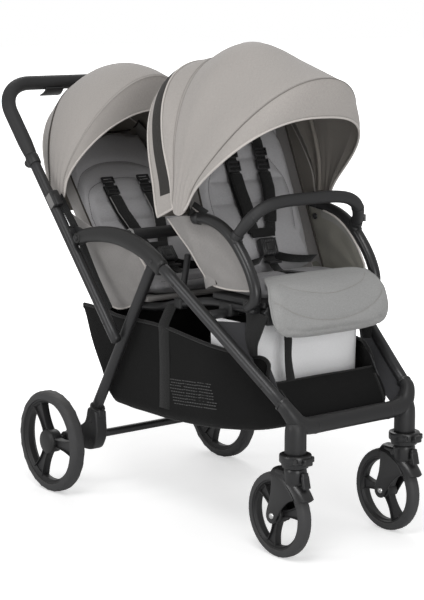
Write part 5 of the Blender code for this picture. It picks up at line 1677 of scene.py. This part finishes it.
def makeBrake():
    x = 0.130
    bm = newBmesh()
    addLathe(bm, [(0.0094, -0.0220), (0.0128, -0.0220), (0.0138, -0.0205), (0.0138, 0.0205), (0.0128, 0.0220),
                  (0.0094, 0.0220)], (x, -0.0980, 0.1430), "X", 40, closed=True)
    foot = smoothPath([(-0.0880, 0.1500), (-0.0600, 0.1555), (-0.0320, 0.1600), (-0.0260, 0.1575),
                       (-0.0280, 0.1530), (-0.0560, 0.1470), (-0.0860, 0.1420)], 3)
    addPlate(bm, foot, x - 0.0220, x + 0.0220, rounding=0.0018)
    for k in range(4):
        y = -0.0400 - 0.0085 * k
        addTube(bm, [(x - 0.0160, y, 0.1592 - 0.0014 * k), (x + 0.0160, y, 0.1592 - 0.0014 * k)], 0.0011, sides=8)
    keepPiece("brakePedal", bm, ["gloss"], "brake", ["brake_pedal"])


makeFrontLegs()
makeCrossbar()
makeCollars()
makeArmrests()
makeSeatFrame()
makeGuards()
makeSeatPans()
makeGrabBar()
makeRearLegs()
makeBrake()
print("frame")


# Handle, fold trigger and bumper bar
def makeHandle():
    foot, step = Vector((0, -0.2225, 0.3850)), Vector((0, 0.1130, 0.7660))
    line = (step - foot).normalized()

    def upright(label, side, sign):
        shift = Vector((sign * handleX, 0, 0))
        bm = newBmesh()
        addTube(bm, mixLine(foot + shift, step + shift - line * 0.006, 16), 0.0125, sides=40)
        addLathe(bm, [(0.0127, -0.0260), (0.0148, -0.0250), (0.0156, -0.0200), (0.0156, -0.0040),
                      (0.0150, -0.0010), (0.0140, 0.0000), (0.0, 0.0000), (0.0, -0.0260)], step + shift,
                 tuple(line), 40, index=1)
        inner, outer = sorted((sign * 0.2044, sign * 0.2086))
        link = smoothPath([(-0.0970, 0.5900), (-0.0900, 0.6080), (-0.0400, 0.6180), (-0.0220, 0.5960),
                           (-0.0500, 0.5750), (-0.0850, 0.5840)], 5)
        addPlate(bm, link, inner, outer, rounding=0.0012, index=1)
        low, high = sorted((sign * 0.2060, sign * 0.2225))
        addPlate(bm, [(-0.0520, 0.5880), (-0.0420, 0.6120), (-0.0220, 0.6160), (-0.0300, 0.5860)], low, high,
                 rounding=0.0012, index=1)
        # round knob behind the step
        knob = [(0.0, 0.0080), (0.0075, 0.0076), (0.0104, 0.0056), (0.0112, 0.0020), (0.0108, -0.0060),
                (0.0, -0.0060)]
        addLathe(bm, knob, Vector((sign * (handleX - 0.004), 0.1150, 0.7570)) + Vector((0, 0.0125, -0.009)),
                 (0, 0.76, -0.65), 32, index=1)
        keepPiece(f"handleUpright{label}", bm, ["tube", "plastic"], "handle",
                  [f"handle_upright_{side}"])
        # a clip with a light edge on the upright
        place = Vector((sign * handleX, 0.0255, 0.6672))
        bm = newBmesh()
        turn = Matrix.Rotation(-math.atan2(line.y, line.z), 3, "X")
        addBox(bm, place + Vector((0, -0.0070, 0.0050)), (0.0260, 0.0270, 0.0420), rounding=0.0050, turn=turn,
               segments=4)
        addBox(bm, place + Vector((0, -0.0190, 0.0060)), (0.0150, 0.0120, 0.0300), rounding=0.0035, turn=turn,
               segments=3)
        addBox(bm, place + Vector((-0.0134, -0.0100, 0.0040)), (0.0016, 0.0180, 0.0330), rounding=0.0006,
               turn=turn, index=1)
        keepPiece(f"handleClip{label}", bm, ["plastic", "seatPiping"], "handle")
        setRivets(f"handleRivets{label}",
                  [(tuple(foot + shift + line * s + Vector((sign * 0.0124, 0, 0))), (sign, 0, 0))
                   for s in (0.045, 0.27)], "handle", radius=0.0036, height=0.0014, metal="armrest")
    mirrored(upright)
    top = Vector((0, 0.1900, 0.8534))
    end = Vector((0, 0.2530, 0.9250))
    line2 = (end - top).normalized()
    start = step + line2 * 0.0006
    half = [Vector((-handleX, start.y, start.z))]
    for i in range(1, 7):
        half.append(Vector((-handleX, *top.yz)).lerp(half[0], 1 - i / 6))
    radius = 0.085
    centre = Vector((-handleX + radius, end.y, end.z)) - line2 * radius
    straight = Vector((-handleX, centre.y, centre.z))
    half.append(half[-1].lerp(straight, 0.5))
    for i in range(19):
        a = math.radians(90 * i / 18)
        half.append(centre + Vector((-radius * math.cos(a), 0, 0)) + line2 * (radius * math.sin(a)))
    path = half + [Vector((-p.x, p.y, p.z)) for p in reversed(half)]
    path = evenPath(path, 121)
    scales = []
    total = len(path) - 1
    for i in range(len(path)):
        edge = min(i, total - i) / total
        scales.append((0.0140 + 0.0028 * min(edge / 0.05, 1.0) ** 0.6) / 0.0168)
    bm = newBmesh()
    addSweep(bm, path, circle(0.0168, 40), scales=scales)
    keepPiece("handleGrip", bm, ["grip"], "handle", ["handle_grip"])
    # the fold housing under the bar, where the trigger hangs
    bm = newBmesh()
    outline = smoothPath([(0.2380, 0.9137), (0.2375, 0.9092), (0.2510, 0.8957), (0.2670, 0.8922),
                          (0.2690, 0.8950), (0.2530, 0.9017), (0.2435, 0.9097)], 4)
    addPlate(bm, outline, -0.0980, -0.0480, rounding=0.0016)
    keepPiece("foldTrigger", bm, ["gloss"], "trigger", ["fold_trigger"])


def makeBumper():
    right = [(-0.1655, -0.5700, 0.6450), (-0.1625, -0.5770, 0.6560), (-0.1565, -0.5860, 0.6700),
             (-0.1470, -0.5950, 0.6850), (-0.1320, -0.6020, 0.6990), (-0.1080, -0.6060, 0.7100),
             (-0.0750, -0.6068, 0.7155), (-0.0350, -0.6064, 0.7168), (0.0, -0.6060, 0.7170)]
    half = smoothPath(right, 8)
    path = evenPath(half + [(-x, y, z) for x, y, z in reversed(half[:-1])], 121)
    scales = []
    for p in path:
        rise = min(max((p.z - 0.6460) / 0.030, 0.0), 1.0)
        scales.append((0.0108 + 0.0024 * rise) / 0.0132)
    bm = newBmesh()
    addSweep(bm, path, circle(0.0132, 36, 0.96), scales=scales, side=(0, 1, 0.2), domed=0.003)
    keepPiece("bumperBar", bm, ["grip"], "bumper", ["front_bumper_bar"])
    bm = newBmesh()
    addBox(bm, (0.1640, -0.5760, 0.6580), (0.0210, 0.0230, 0.0240), rounding=0.0055, segments=4,
           turn=Matrix.Rotation(math.radians(38), 3, "X"))
    for sign in (1, -1):
        addLathe(bm, [(0.0, -0.0060), (0.0112, -0.0060), (0.0128, -0.0045), (0.0132, 0.0), (0.0128, 0.0060),
                      (0.0110, 0.0066)], (sign * 0.1646, -0.5720, 0.6480), (-sign * 0.22, -0.53, 0.83), 32)
    # a ring round each side of the sleeve
    for sign in (1, -1):
        near = [p for p in path if p.x * sign > 0.10]
        middle = near[len(near) // 2]
        ahead = (near[len(near) // 2 + 1] - middle).normalized()
        addLathe(bm, [(0.0118, -0.0018), (0.0140, -0.0014), (0.0140, 0.0014), (0.0118, 0.0018)], middle,
                 tuple(ahead), 36, closed=True)
    keepPiece("bumperHousings", bm, ["plastic"], "bumper")
    bm = newBmesh()
    addBox(bm, (0.1802, -0.5790, 0.6600), (0.0032, 0.0110, 0.0160), rounding=0.0012, segments=3)
    keepPiece("bumperRelease", bm, ["tab"], "bumper_button", ["bumper_release"])


makeHandle()
makeBumper()
print("handle and bumper")


# The hood linings. Each closes a hood behind its backrest, so no light shows between them.
def makeHoodBack(name, rim, push, lean, body):
    half = len(rim) // 2
    rows = []
    for j in range(half + 1):
        a, b = rim[j], rim[len(rim) - 1 - j]
        t = j / half
        row = []
        for i in range(25):
            s = i / 24
            p = a.lerp(b, s)
            inside = min(s, 1 - s) * (b - a).length
            grow = min(inside / 0.045, 1.0)
            grow = grow * grow * (3 - 2 * grow)
            offset = push * grow * (1 - t**2.5) + 0.004 * math.sin(math.pi * s) * (1 - t)
            soft = 0.0016 * noise.noise(Vector((p.x * 12, p.z * 16, push * 40))) * grow
            row.append(p + Vector((0, math.cos(lean), -math.sin(lean))) * (offset + soft))
        rows.append(row)
    rows.append([rows[-1][i] + Vector((0, 0, 0.0004)) for i in range(25)])
    bm = newBmesh()
    rows, _ = addCloth(bm, rows, 0.0014)
    made = keepPiece(name, bm, ["lining", "canopy"], body)


def makeLinings():
    within = 0.004  # the lining ends this far inside the hood's edge
    angle, reach = curtainArch(frontCanopy)
    rim = canopyLine(frontCanopy, angle, reach - within, 0.1965, 2.6, axis=frontCanopy["curtainFoot"], lobeAt=0.65)
    makeHoodBack("frontHoodBack", rim, 0.002, frontLean, "front_backrest")
    angle, reach, half, square = rearCanopy["back"][-1]
    rim = canopyLine(rearCanopy, angle, reach - within, half - 0.0015, square)
    makeHoodBack("rearHoodBack", rim, 0.062, rearLean, "rear_backrest")


makeLinings()


# The basket: one lofted sheet with a front panel, piping, hung straps and a hatch print
basketLines = [
    ((-0.0200, 0.4230), (-0.0200, 0.4320)), ((-0.0480, 0.3450), (-0.0480, 0.4320)),
    ((-0.0900, 0.2760), (-0.0900, 0.4300)), ((-0.1200, 0.2280), (-0.1200, 0.4280)),
    ((-0.1700, 0.2200), (-0.1700, 0.4240)), ((-0.3200, 0.2200), (-0.3200, 0.4250)),
    ((-0.4600, 0.2280), (-0.4580, 0.4120)), ((-0.6000, 0.2450), (-0.5900, 0.4020)),
    ((-0.6850, 0.2680), (-0.6250, 0.4010)), ((-0.7080, 0.2820), (-0.6400, 0.3930)),
    ((-0.6900, 0.3150), (-0.6460, 0.3830)), ((-0.6560, 0.3510), (-0.6480, 0.3690)),
]


basketSteps, wallColumns = 4, 9
frontPanel = 9  # the line where the front panel of another cloth begins


def basketRows():
    low = smoothPath([(0, *a) for a, b in basketLines], basketSteps)
    high = smoothPath([(0, *b) for a, b in basketLines], basketSteps)
    rows = []
    for a, b in zip(low, high):
        a, b = Vector(a), Vector(b)
        half = 0.170 - 0.16 * max(-0.5 - a.y, 0.0)
        tall = (b - a).length
        corner = min(0.024, tall * 0.5)
        share = corner / max(tall, 1e-6)
        side = []
        for k in range(wallColumns):
            t = 1.0 - (1.0 - share) * k / (wallColumns - 1)
            side.append(Vector((half, 0, 0)) + a.lerp(b, t))
        for k in range(1, 7):
            q = math.pi / 2 * k / 6
            inward = corner * (1 - math.cos(q))
            t = share * (1 - math.sin(q))
            side.append(Vector((half - inward, 0, 0)) + a.lerp(b, t))
        for k in range(1, 9):
            side.append(Vector(((half - corner) * (1 - k / 8), 0, 0)) + a)
        row = [Vector((-p.x, p.y, p.z)) for p in side] + side[-2::-1]
        found = []
        for j, p in enumerate(row):
            k = min(j, len(row) - 1 - j)
            wall = k < wallColumns
            sag = 0.0
            if wall:
                sag = -0.0030 * math.sin(math.pi * k / wallColumns) \
                    * math.sin(math.pi * min(max((-p.y - 0.12) / 0.48, 0), 1))
            wrinkle = 0.0013 * noise.noise(Vector((p.x * 8, p.y * 22, p.z * 16))) \
                + 0.0008 * noise.noise(Vector((p.x * 30, p.y * 9, p.z * 40)))
            out = Vector((math.copysign(1.0, p.x), 0, 0)) if wall else Vector((0, 0, -1))
            edge = 0.4 if k < 2 else 1.0
            found.append(p + out * (wrinkle * edge + sag))
        rows.append(found)
    return rows


def makeBasket():
    rows = basketRows()
    frontFrom = frontPanel * basketSteps
    bm = newBmesh()
    rows, normals = addCloth(bm, rows, 0.0020, side=-1, inner=0,
                             indexAt=lambda i, j: 1 if i >= frontFrom else 0)
    made = keepPiece("basket", bm, ["basket", "basketPanel"], "chassis", ["basket"])
    bm = newBmesh()
    # rolled top edges, the rear flap's rim, the front lip and the lower seams
    addSweep(bm, [row[0] for row in rows], circle(0.0040, 12), domed=0.002)
    addSweep(bm, [row[-1] for row in rows], circle(0.0040, 12), domed=0.002)
    addSweep(bm, rows[0], circle(0.0034, 10), domed=0.002)
    addSweep(bm, rows[-1], circle(0.0032, 10), domed=0.002)
    for j in (12, len(rows[0]) - 13):
        addSweep(bm, [row[j] + normals[i][j] * 0.0012 for i, row in enumerate(rows[6:-2], 6)],
                 circle(0.0032, 10), domed=0.002)
    keepPiece("basketPiping", bm, ["webbing"], "chassis")
    bm = newBmesh()
    addSweep(bm, [p + n * 0.0008 for p, n in zip(rows[frontFrom][14:-14], normals[frontFrom][14:-14])],
             circle(0.0018, 8), domed=0.001)
    keepPiece("basketFold", bm, ["basketPanel"], "chassis")
    seams = [[p + normals[i][j] * 0.0004 for i, p in enumerate(row[j] for row in rows)][2:-2]
             for j in (1, len(rows[0]) - 2)]
    sewStitches("basketStitches", seams, "chassis", "darkThread", spacing=0.0060, length=0.0040,
                thickness=0.0005)

    # on each side a strap from the seat frame down the basket, and a tapered one at the front corner
    def onWall(y, z, lift, sign):
        i = min(range(len(rows)), key=lambda r: abs(rows[r][0].y - y))
        j = min(range(15), key=lambda c: abs(rows[i][c].z - z))
        p = rows[i][j]
        return Vector((sign * (abs(p.x) + lift), y, z))

    bm = newBmesh()
    for sign in (1, -1):
        hang = [Vector((sign * 0.1480, -0.3280, 0.4700)), Vector((sign * 0.1620, -0.3290, 0.4480))]
        hang += [onWall(-0.3300, z, 0.0026, sign) for z in (0.4280, 0.4100, 0.3800, 0.3400, 0.3000, 0.2600, 0.2440)]
        line = smoothPath([tuple(p) for p in hang], 4)
        addSweep(bm, line, slab(0.0360, 0.0018), side=(0, 1, 0))
        taper = [(sign * 0.1540, -0.6230, 0.4960), (sign * 0.1560, -0.6200, 0.4700), (sign * 0.1585, -0.6130, 0.4350),
                 (sign * 0.1570, -0.6160, 0.4050)]
        line = smoothPath(taper, 6)
        wide = [1.0 - 0.62 * (i / (len(line) - 1)) ** 0.8 for i in range(len(line))]
        addSweep(bm, line, slab(0.0760, 0.0024), side=(0, 1, 0.1), scales=wide)
    # one strap down the front, drawn in at its middle
    front = smoothPath([(-0.0905, -0.6440, 0.4700), (-0.0925, -0.6500, 0.4400), (-0.0965, -0.6550, 0.4150),
                        (-0.0985, -0.6580, 0.3980), (-0.0955, -0.6580, 0.3750), (-0.0905, -0.6580, 0.3480)], 5)
    addSweep(bm, front, slab(0.0240, 0.0018), side=(1, 0, 0),
             scales=[1.0 - 0.22 * math.sin(math.pi * i / (len(front) - 1)) for i in range(len(front))])
    # a band along each rear upright, where the rear seat's side is sewn on
    for sign in (1, -1):
        band = smoothPath([(sign * 0.2020, y, z) for y, z in ((0.0275, 0.6775), (-0.0345, 0.6124), (-0.0655, 0.5743),
                                                              (-0.1165, 0.5050), (-0.1695, 0.4430))], 5)
        addSweep(bm, band, slab(0.0260, 0.0016), side=(0, 0.75, -0.66))
    keepPiece("basketStraps", bm, ["webbing"], "chassis")

    # the panels between the front edge, the legs and the crossbar
    def apron(label, side, sign):
        grid = []
        for i in range(25):
            z = 0.4700 - 0.1880 * i / 24
            along = min((legTop.z - z) / (legTop.z - legFoot.z), 1.0)
            leg = legTop.lerp(legFoot, along)
            below = max(legFoot.z - z, 0.0)
            outer = Vector((leg.x - 0.0050 - below * 0.50, leg.y + 0.0040 - below * 0.40, z))
            low = max(0.3430 - z, 0.0)
            inner = Vector((0.1500 - 0.30 * low, -0.5900 - 0.24 * (0.4700 - z) - 1.50 * low, z))
            row = []
            for j in range(11):
                p = inner.lerp(outer, j / 10)
                sag = 0.0040 * math.sin(math.pi * j / 10) * math.sin(math.pi * i / 24)
                crease = 0.0010 * noise.noise(Vector((p.x * 60 * sign, p.y * 30, p.z * 22)))
                row.append(Vector((sign * p.x, p.y + sag + crease, p.z)))
            grid.append(row)
        bm = newBmesh()
        grid, _ = addCloth(bm, grid, 0.0016, side=sign, inner=0)
        made = keepPiece(f"basketApron{label}", bm, ["basketPanel"], "chassis")
    mirrored(apron)

    # strokes of a plain hatch print on each side
    strokes = []
    for sign in (1, -1):
        for block in range(3):
            for row in range(9):
                shift = 0.010 * noise.noise(Vector((block * 3.1, row * 1.7, sign)))
                y0 = -0.3420 - 0.0520 * block - 0.0030 * row + shift
                z0 = 0.3120 + 0.0050 * block - 0.0062 * row
                strokes.append([onWall(y0 - 0.0420 * k / 5, z0 + 0.0035 * k / 5, 0.0016, sign) for k in range(6)])
    sewStitches("basketPrint", strokes, "chassis", "print", spacing=0.0072, length=0.0060,
                thickness=0.0011)

    # a light sheet hung inside the front of the basket, seen through its opening
    plan = smoothPath([(-0.1540, -0.4700, 0), (-0.1545, -0.5400, 0), (-0.1480, -0.5950, 0), (-0.1100, -0.6120, 0),
                       (0.0, -0.6150, 0), (0.1100, -0.6120, 0), (0.1480, -0.5950, 0), (0.1545, -0.5400, 0),
                       (0.1540, -0.4700, 0)], 5)
    guard = []
    for i in range(17):
        z = 0.4680 - 0.1900 * i / 16
        guard.append([Vector((x * (1 - 0.05 * i / 16), y + 0.0025 * math.sin(x * 40) * i / 16, z))
                      for x, y, _ in plan])
    bm = newBmesh()
    guard, _ = addCloth(bm, guard, 0.0014, side=-1, inner=0)
    made = keepPiece("legGuard", bm, ["guard"], "chassis")


makeBasket()
print("basket")


# Harness straps, their pads and slides, and the buckles
harnessShapes = {
    "front": {"foot": frontFoot, "lean": frontLean, "top": 0.285, "buckle": (0.040, 0.0210), "spread": 0.020,
              "pad": (0.098, 0.205), "piping": "webbing", "seat": (-0.5350, 0.5500),
              # the loose end of the crotch strap, as x, and y and z from the seat point
              "end": ((0.0020, 0, 0.0055), (0.0090, -0.0300, 0.0058), (0.0160, -0.0560, 0.0062),
                      (0.0190, -0.0680, 0.0060))},
    "rear": {"foot": rearFoot, "lean": rearLean, "top": 0.255, "buckle": (0.034, 0.0405), "spread": 0.030,
             "pad": (0.100, 0.215), "piping": "seatPiping", "seat": (-0.1750, 0.5060),
             "end": ((0, 0, -0.0010), (0, -0.0040, -0.0080))},
}


def makeHarness(name, c):
    foot, lean = c["foot"], c["lean"]
    body = f"{name}_backrest"
    along = Vector((0, math.sin(lean), math.cos(lean)))
    out = Vector((0, -math.cos(lean), math.sin(lean)))

    def at(x, a, off):
        y, z = leaning(foot, lean, a, off)
        return Vector((x, y, z))

    straps, pads, slides, edges = newBmesh(), newBmesh(), newBmesh(), newBmesh()
    for sign in (1, -1):
        def half(a):
            return 0.019 + c["spread"] * min(max((a - 0.070) / 0.100, 0.0), 1.0) ** 0.8 + 0.002 * max(a - 0.17, 0) / 0.1

        path = smoothPath([tuple(at(sign * half(a), a, 0.0165 + 0.0035 * math.sin(math.pi * (a - 0.06) / 0.24)))
                           for a in (0.066, 0.095, 0.130, 0.170, 0.210, 0.250, c["top"])], 6)
        addSweep(straps, path, slab(0.0250, 0.0022), side=(1, 0, 0), domed=0.0005)
        under = smoothPath([tuple(at(sign * (half(a) + 0.0060), a, 0.0140)) for a in
                            (0.076, 0.110, 0.150, 0.190, 0.230, c["top"] - 0.006)], 6)
        addSweep(straps, under, slab(0.0220, 0.0018), side=(1, 0, 0), domed=0.0005)
        low, high = c["pad"]
        count = 46
        line = [at(sign * half(low + (high - low) * i / count), low + (high - low) * i / count,
                   0.0200 + 0.0035 * math.sin(math.pi * i / count)) for i in range(count + 1)]
        ribs = [0.93 + 0.07 * abs(math.cos(math.pi * i / 4.0)) for i in range(count + 1)]
        addSweep(pads, line, slab(0.0310, 0.0082, 5), side=(1, 0, 0), scales=ribs, domed=0.0030)
        for edge in (-1, 1):
            addSweep(edges, [p + Vector((edge * 0.0156, 0, 0)) for p in line], circle(0.0011, 6), domed=0.0006)
        # slide above the pad: a frame with a middle bar, and a keeper loop on the pad
        for a, tall in ((high + 0.0180, 0.0200), (high + 0.0460, 0.0150)):
            place = at(sign * half(a), a, 0.0205)
            turn = leanTurn(lean)
            for shift in (-0.5, 0.0, 0.5):
                addBox(slides, place + along * (tall * shift), (0.0330, 0.0056, 0.0034), rounding=0.0012, turn=turn)
            for aside in (-1, 1):
                addBox(slides, place + Vector((aside * 0.0150, 0, 0)), (0.0036, 0.0056, tall + 0.0030),
                       rounding=0.0012, turn=turn)
        # waist strap that leaves from the buckle to the side of the seat
        belt = smoothPath([tuple(at(sign * 0.012, c["buckle"][0] - 0.014, c["buckle"][1] - 0.006)),
                           tuple(at(sign * 0.036, 0.012, 0.0290)), tuple(at(sign * 0.080, 0.006, 0.0250)),
                           tuple(at(sign * 0.114, 0.005, 0.0200)), tuple(at(sign * 0.128, 0.006, 0.0120))], 6)
        addSweep(straps, belt, slab(0.0220, 0.0020), side=tuple(along * 0.55 + out), domed=0.0005)
    turn = leanTurn(lean)
    addBox(straps, at(0, 0.074, 0.0165), (0.0620, 0.0070, 0.0200), rounding=0.0026, turn=turn)
    keepPiece(f"{name}Harness", straps, ["webbing"], body, [f"{name}_harness"])
    made = keepPiece(f"{name}HarnessPads", pads, ["webbing"], body)
    keepPiece(f"{name}PadPiping", edges, [c["piping"]], body)
    keepPiece(f"{name}Slides", slides, ["gloss"], body)

    # buckle under a ribbed cover, with the strap that comes up between the legs
    a, off = c["buckle"]
    buckle = newBmesh()
    addBox(buckle, at(0, a, off), (0.0440, 0.0180, 0.0400), rounding=0.0055, turn=turn, segments=4)
    for k in range(-4, 5):
        # the ribs beside the button are whole, and those at the button are in two parts
        ribs = [(0.0180, 0.0086, 0.0102, 0.0090), (-0.0102, 0.0090, -0.0180, 0.0086)] if abs(k) < 3 \
            else [(0.0180, 0.0086, -0.0170, 0.0088)]
        for fromA, fromOff, toA, toOff in ribs:
            start, end = at(k * 0.0047, a + fromA, off + fromOff), at(k * 0.0047, a + toA, off + toOff)
            addTube(buckle, [start, start.lerp(end, 0.5), end], 0.0012, sides=8)
    keepPiece(f"{name}Buckle", buckle, ["gloss"], "chassis", [f"{name}_buckle"])
    press = newBmesh()
    addBox(press, at(0, a, off + 0.0088), (0.0172, 0.0040, 0.0172), rounding=0.0018, turn=turn, segments=3)
    keepPiece(f"{name}BuckleButton", press, ["armrest"], f"{name}_buckle_press",
              [f"{name}_buckle_button"])
    strap = newBmesh()
    seatAt, seatTop = c["seat"]
    path = smoothPath([tuple(at(0, a - 0.012, off)), tuple(at(0, a - 0.028, off + 0.002)),
                       (0, (at(0, a - 0.028, off).y + seatAt) / 2, seatTop + 0.0045),
                       *((x, seatAt + y, seatTop + z) for x, y, z in c["end"])], 6)
    addSweep(strap, path, slab(0.0240, 0.0022), side=(1, 0, 0))
    place = Vector(path[8])
    for shift in (-0.5, 0.0, 0.5):
        addBox(strap, place + Vector((0, 0.0180 * shift, 0.0030)), (0.0320, 0.0034, 0.0050), rounding=0.0012, index=1)
    for aside in (-1, 1):
        addBox(strap, place + Vector((aside * 0.0145, 0, 0.0030)), (0.0036, 0.0214, 0.0050), rounding=0.0012, index=1)
    keepPiece(f"{name}CrotchStrap", strap, ["webbing", "gloss"], "chassis")


for name, c in harnessShapes.items():
    makeHarness(name, c)


# The webbing triangle and snap on each front side panel
def makeWingFittings():
    def fitting(label, side, sign):
        bm = newBmesh()
        corner = [(-0.4309, 0.7059), (-0.4789, 0.6907), (-0.4600, 0.6770), (-0.4149, 0.6698), (-0.4045, 0.6709)]
        low, high = sorted((sign * 0.1640, sign * 0.1660))
        addPlate(bm, corner, low, high, rounding=0.0004)
        keepPiece("wingTriangle" + label, bm, ["webbing"], "chassis")
        bm = newBmesh()
        edge = [(sign * 0.1668, y, z) for y, z in ((-0.4260, 0.6930), (-0.4480, 0.6840), (-0.4700, 0.6800))]
        addTube(bm, edge, 0.0013, sides=8)
        keepPiece("triangleLine" + label, bm, ["piping"], "chassis")
        setRivets("wingSnap" + label, [((sign * 0.1470, -0.4577, 0.6540), (-sign, 0, 0))],
                  "chassis", radius=0.0070, height=0.0026, metal="gloss")
    mirrored(fitting)


makeWingFittings()
print("harness")


# Floor, light and camera
studio = {
    "floor": 0.0, "floorSize": 60.0, "floorGrey": 0.86, "world": 0.50,
    # the floor's glow for the camera grows from the stroller outwards
    "glow": {"From Min": 0.75, "From Max": 1.7, "To Min": 0.45, "To Max": 1.2},
    # power, size and place of each lamp. All look at the stroller's middle.
    "lamps": {"keyLight": (34.0, 1.6, (-1.6, -1.6, 3.4)), "frontLight": (42.0, 2.2, (-1.2, -4.0, 1.2)),
              "sideLight": (26.0, 1.6, (-3.6, 0.4, 1.6)), "rimLight": (22.0, 2.0, (1.6, 2.6, 2.6))},
    "middle": (0, 0, 0.5),
    # fitted to the photograph
    "eye": (-2.3823, -3.0608, 1.1320), "gaze": (0.6073, 0.7757, -0.1717), "focal": 105.07, "sensor": 36.0,
}


def makeStudio(c):
    bm = newBmesh()
    half = c["floorSize"] / 2
    bm.faces.new([bm.verts.new((x, y, c["floor"]))
                  for x, y in ((-half, -half), (half, -half), (half, half), (-half, half))])
    mesh = bpy.data.meshes.new("studioFloor")
    bm.to_mesh(mesh)
    bm.free()
    floor = bpy.data.objects.new("studioFloor", mesh)
    bpy.context.scene.collection.objects.link(floor)
    pale, tree, shader = startMaterial("paleFloor")
    feed(tree, shader, {"Base Color": (c["floorGrey"],) * 3 + (1,), "Roughness": 0.9})
    path = addNode(tree, "ShaderNodeLightPath").outputs
    place = addNode(tree, "ShaderNodeNewGeometry").outputs["Position"]
    far = addNode(tree, "ShaderNodeVectorMath", {0: place, 1: (0, 0, 0)}, operation="DISTANCE").outputs["Value"]
    fade = addNode(tree, "ShaderNodeMapRange", {"Value": far, **c["glow"]},
                   interpolation_type="SMOOTHSTEP").outputs["Result"]
    glow = sums(tree, "MULTIPLY", path["Is Camera Ray"], fade)
    white = addNode(tree, "ShaderNodeEmission", {"Color": (1, 1, 1, 1), "Strength": glow}).outputs[0]
    mixed = addNode(tree, "ShaderNodeAddShader", {0: shader.outputs[0], 1: white})
    tree.links.new(mixed.outputs[0], tree.nodes["Material Output"].inputs["Surface"])
    mesh.materials.append(pale)

    world = bpy.data.worlds.new("studio")
    bpy.context.scene.world = world
    world.use_nodes = True
    tree = world.node_tree
    path = addNode(tree, "ShaderNodeLightPath").outputs
    level = sums(tree, "ADD", c["world"], sums(tree, "MULTIPLY", path["Is Camera Ray"], 1.0 - c["world"]))
    feed(tree, tree.nodes["Background"], {"Color": (1, 1, 1, 1), "Strength": level})

    for name, (power, size, place) in c["lamps"].items():
        lamp = bpy.data.lights.new(name, "AREA")
        lamp.energy = power
        lamp.shape = "DISK"
        lamp.size = size
        made = bpy.data.objects.new(name, lamp)
        bpy.context.scene.collection.objects.link(made)
        made.location = place
        made.rotation_euler = (Vector(c["middle"]) - Vector(place)).to_track_quat("-Z", "Y").to_euler()

    lens = bpy.data.cameras.new("camera")
    lens.sensor_fit = "VERTICAL"
    lens.sensor_height = lens.sensor_width = c["sensor"]
    lens.lens = c["focal"]
    camera = bpy.data.objects.new("camera", lens)
    bpy.context.scene.collection.objects.link(camera)
    camera.location = c["eye"]
    camera.rotation_euler = Vector(c["gaze"]).to_track_quat("-Z", "Y").to_euler()
    bpy.context.scene.camera = camera
    bpy.context.scene.view_settings.view_transform = "Standard"


makeStudio(studio)
print("studio")
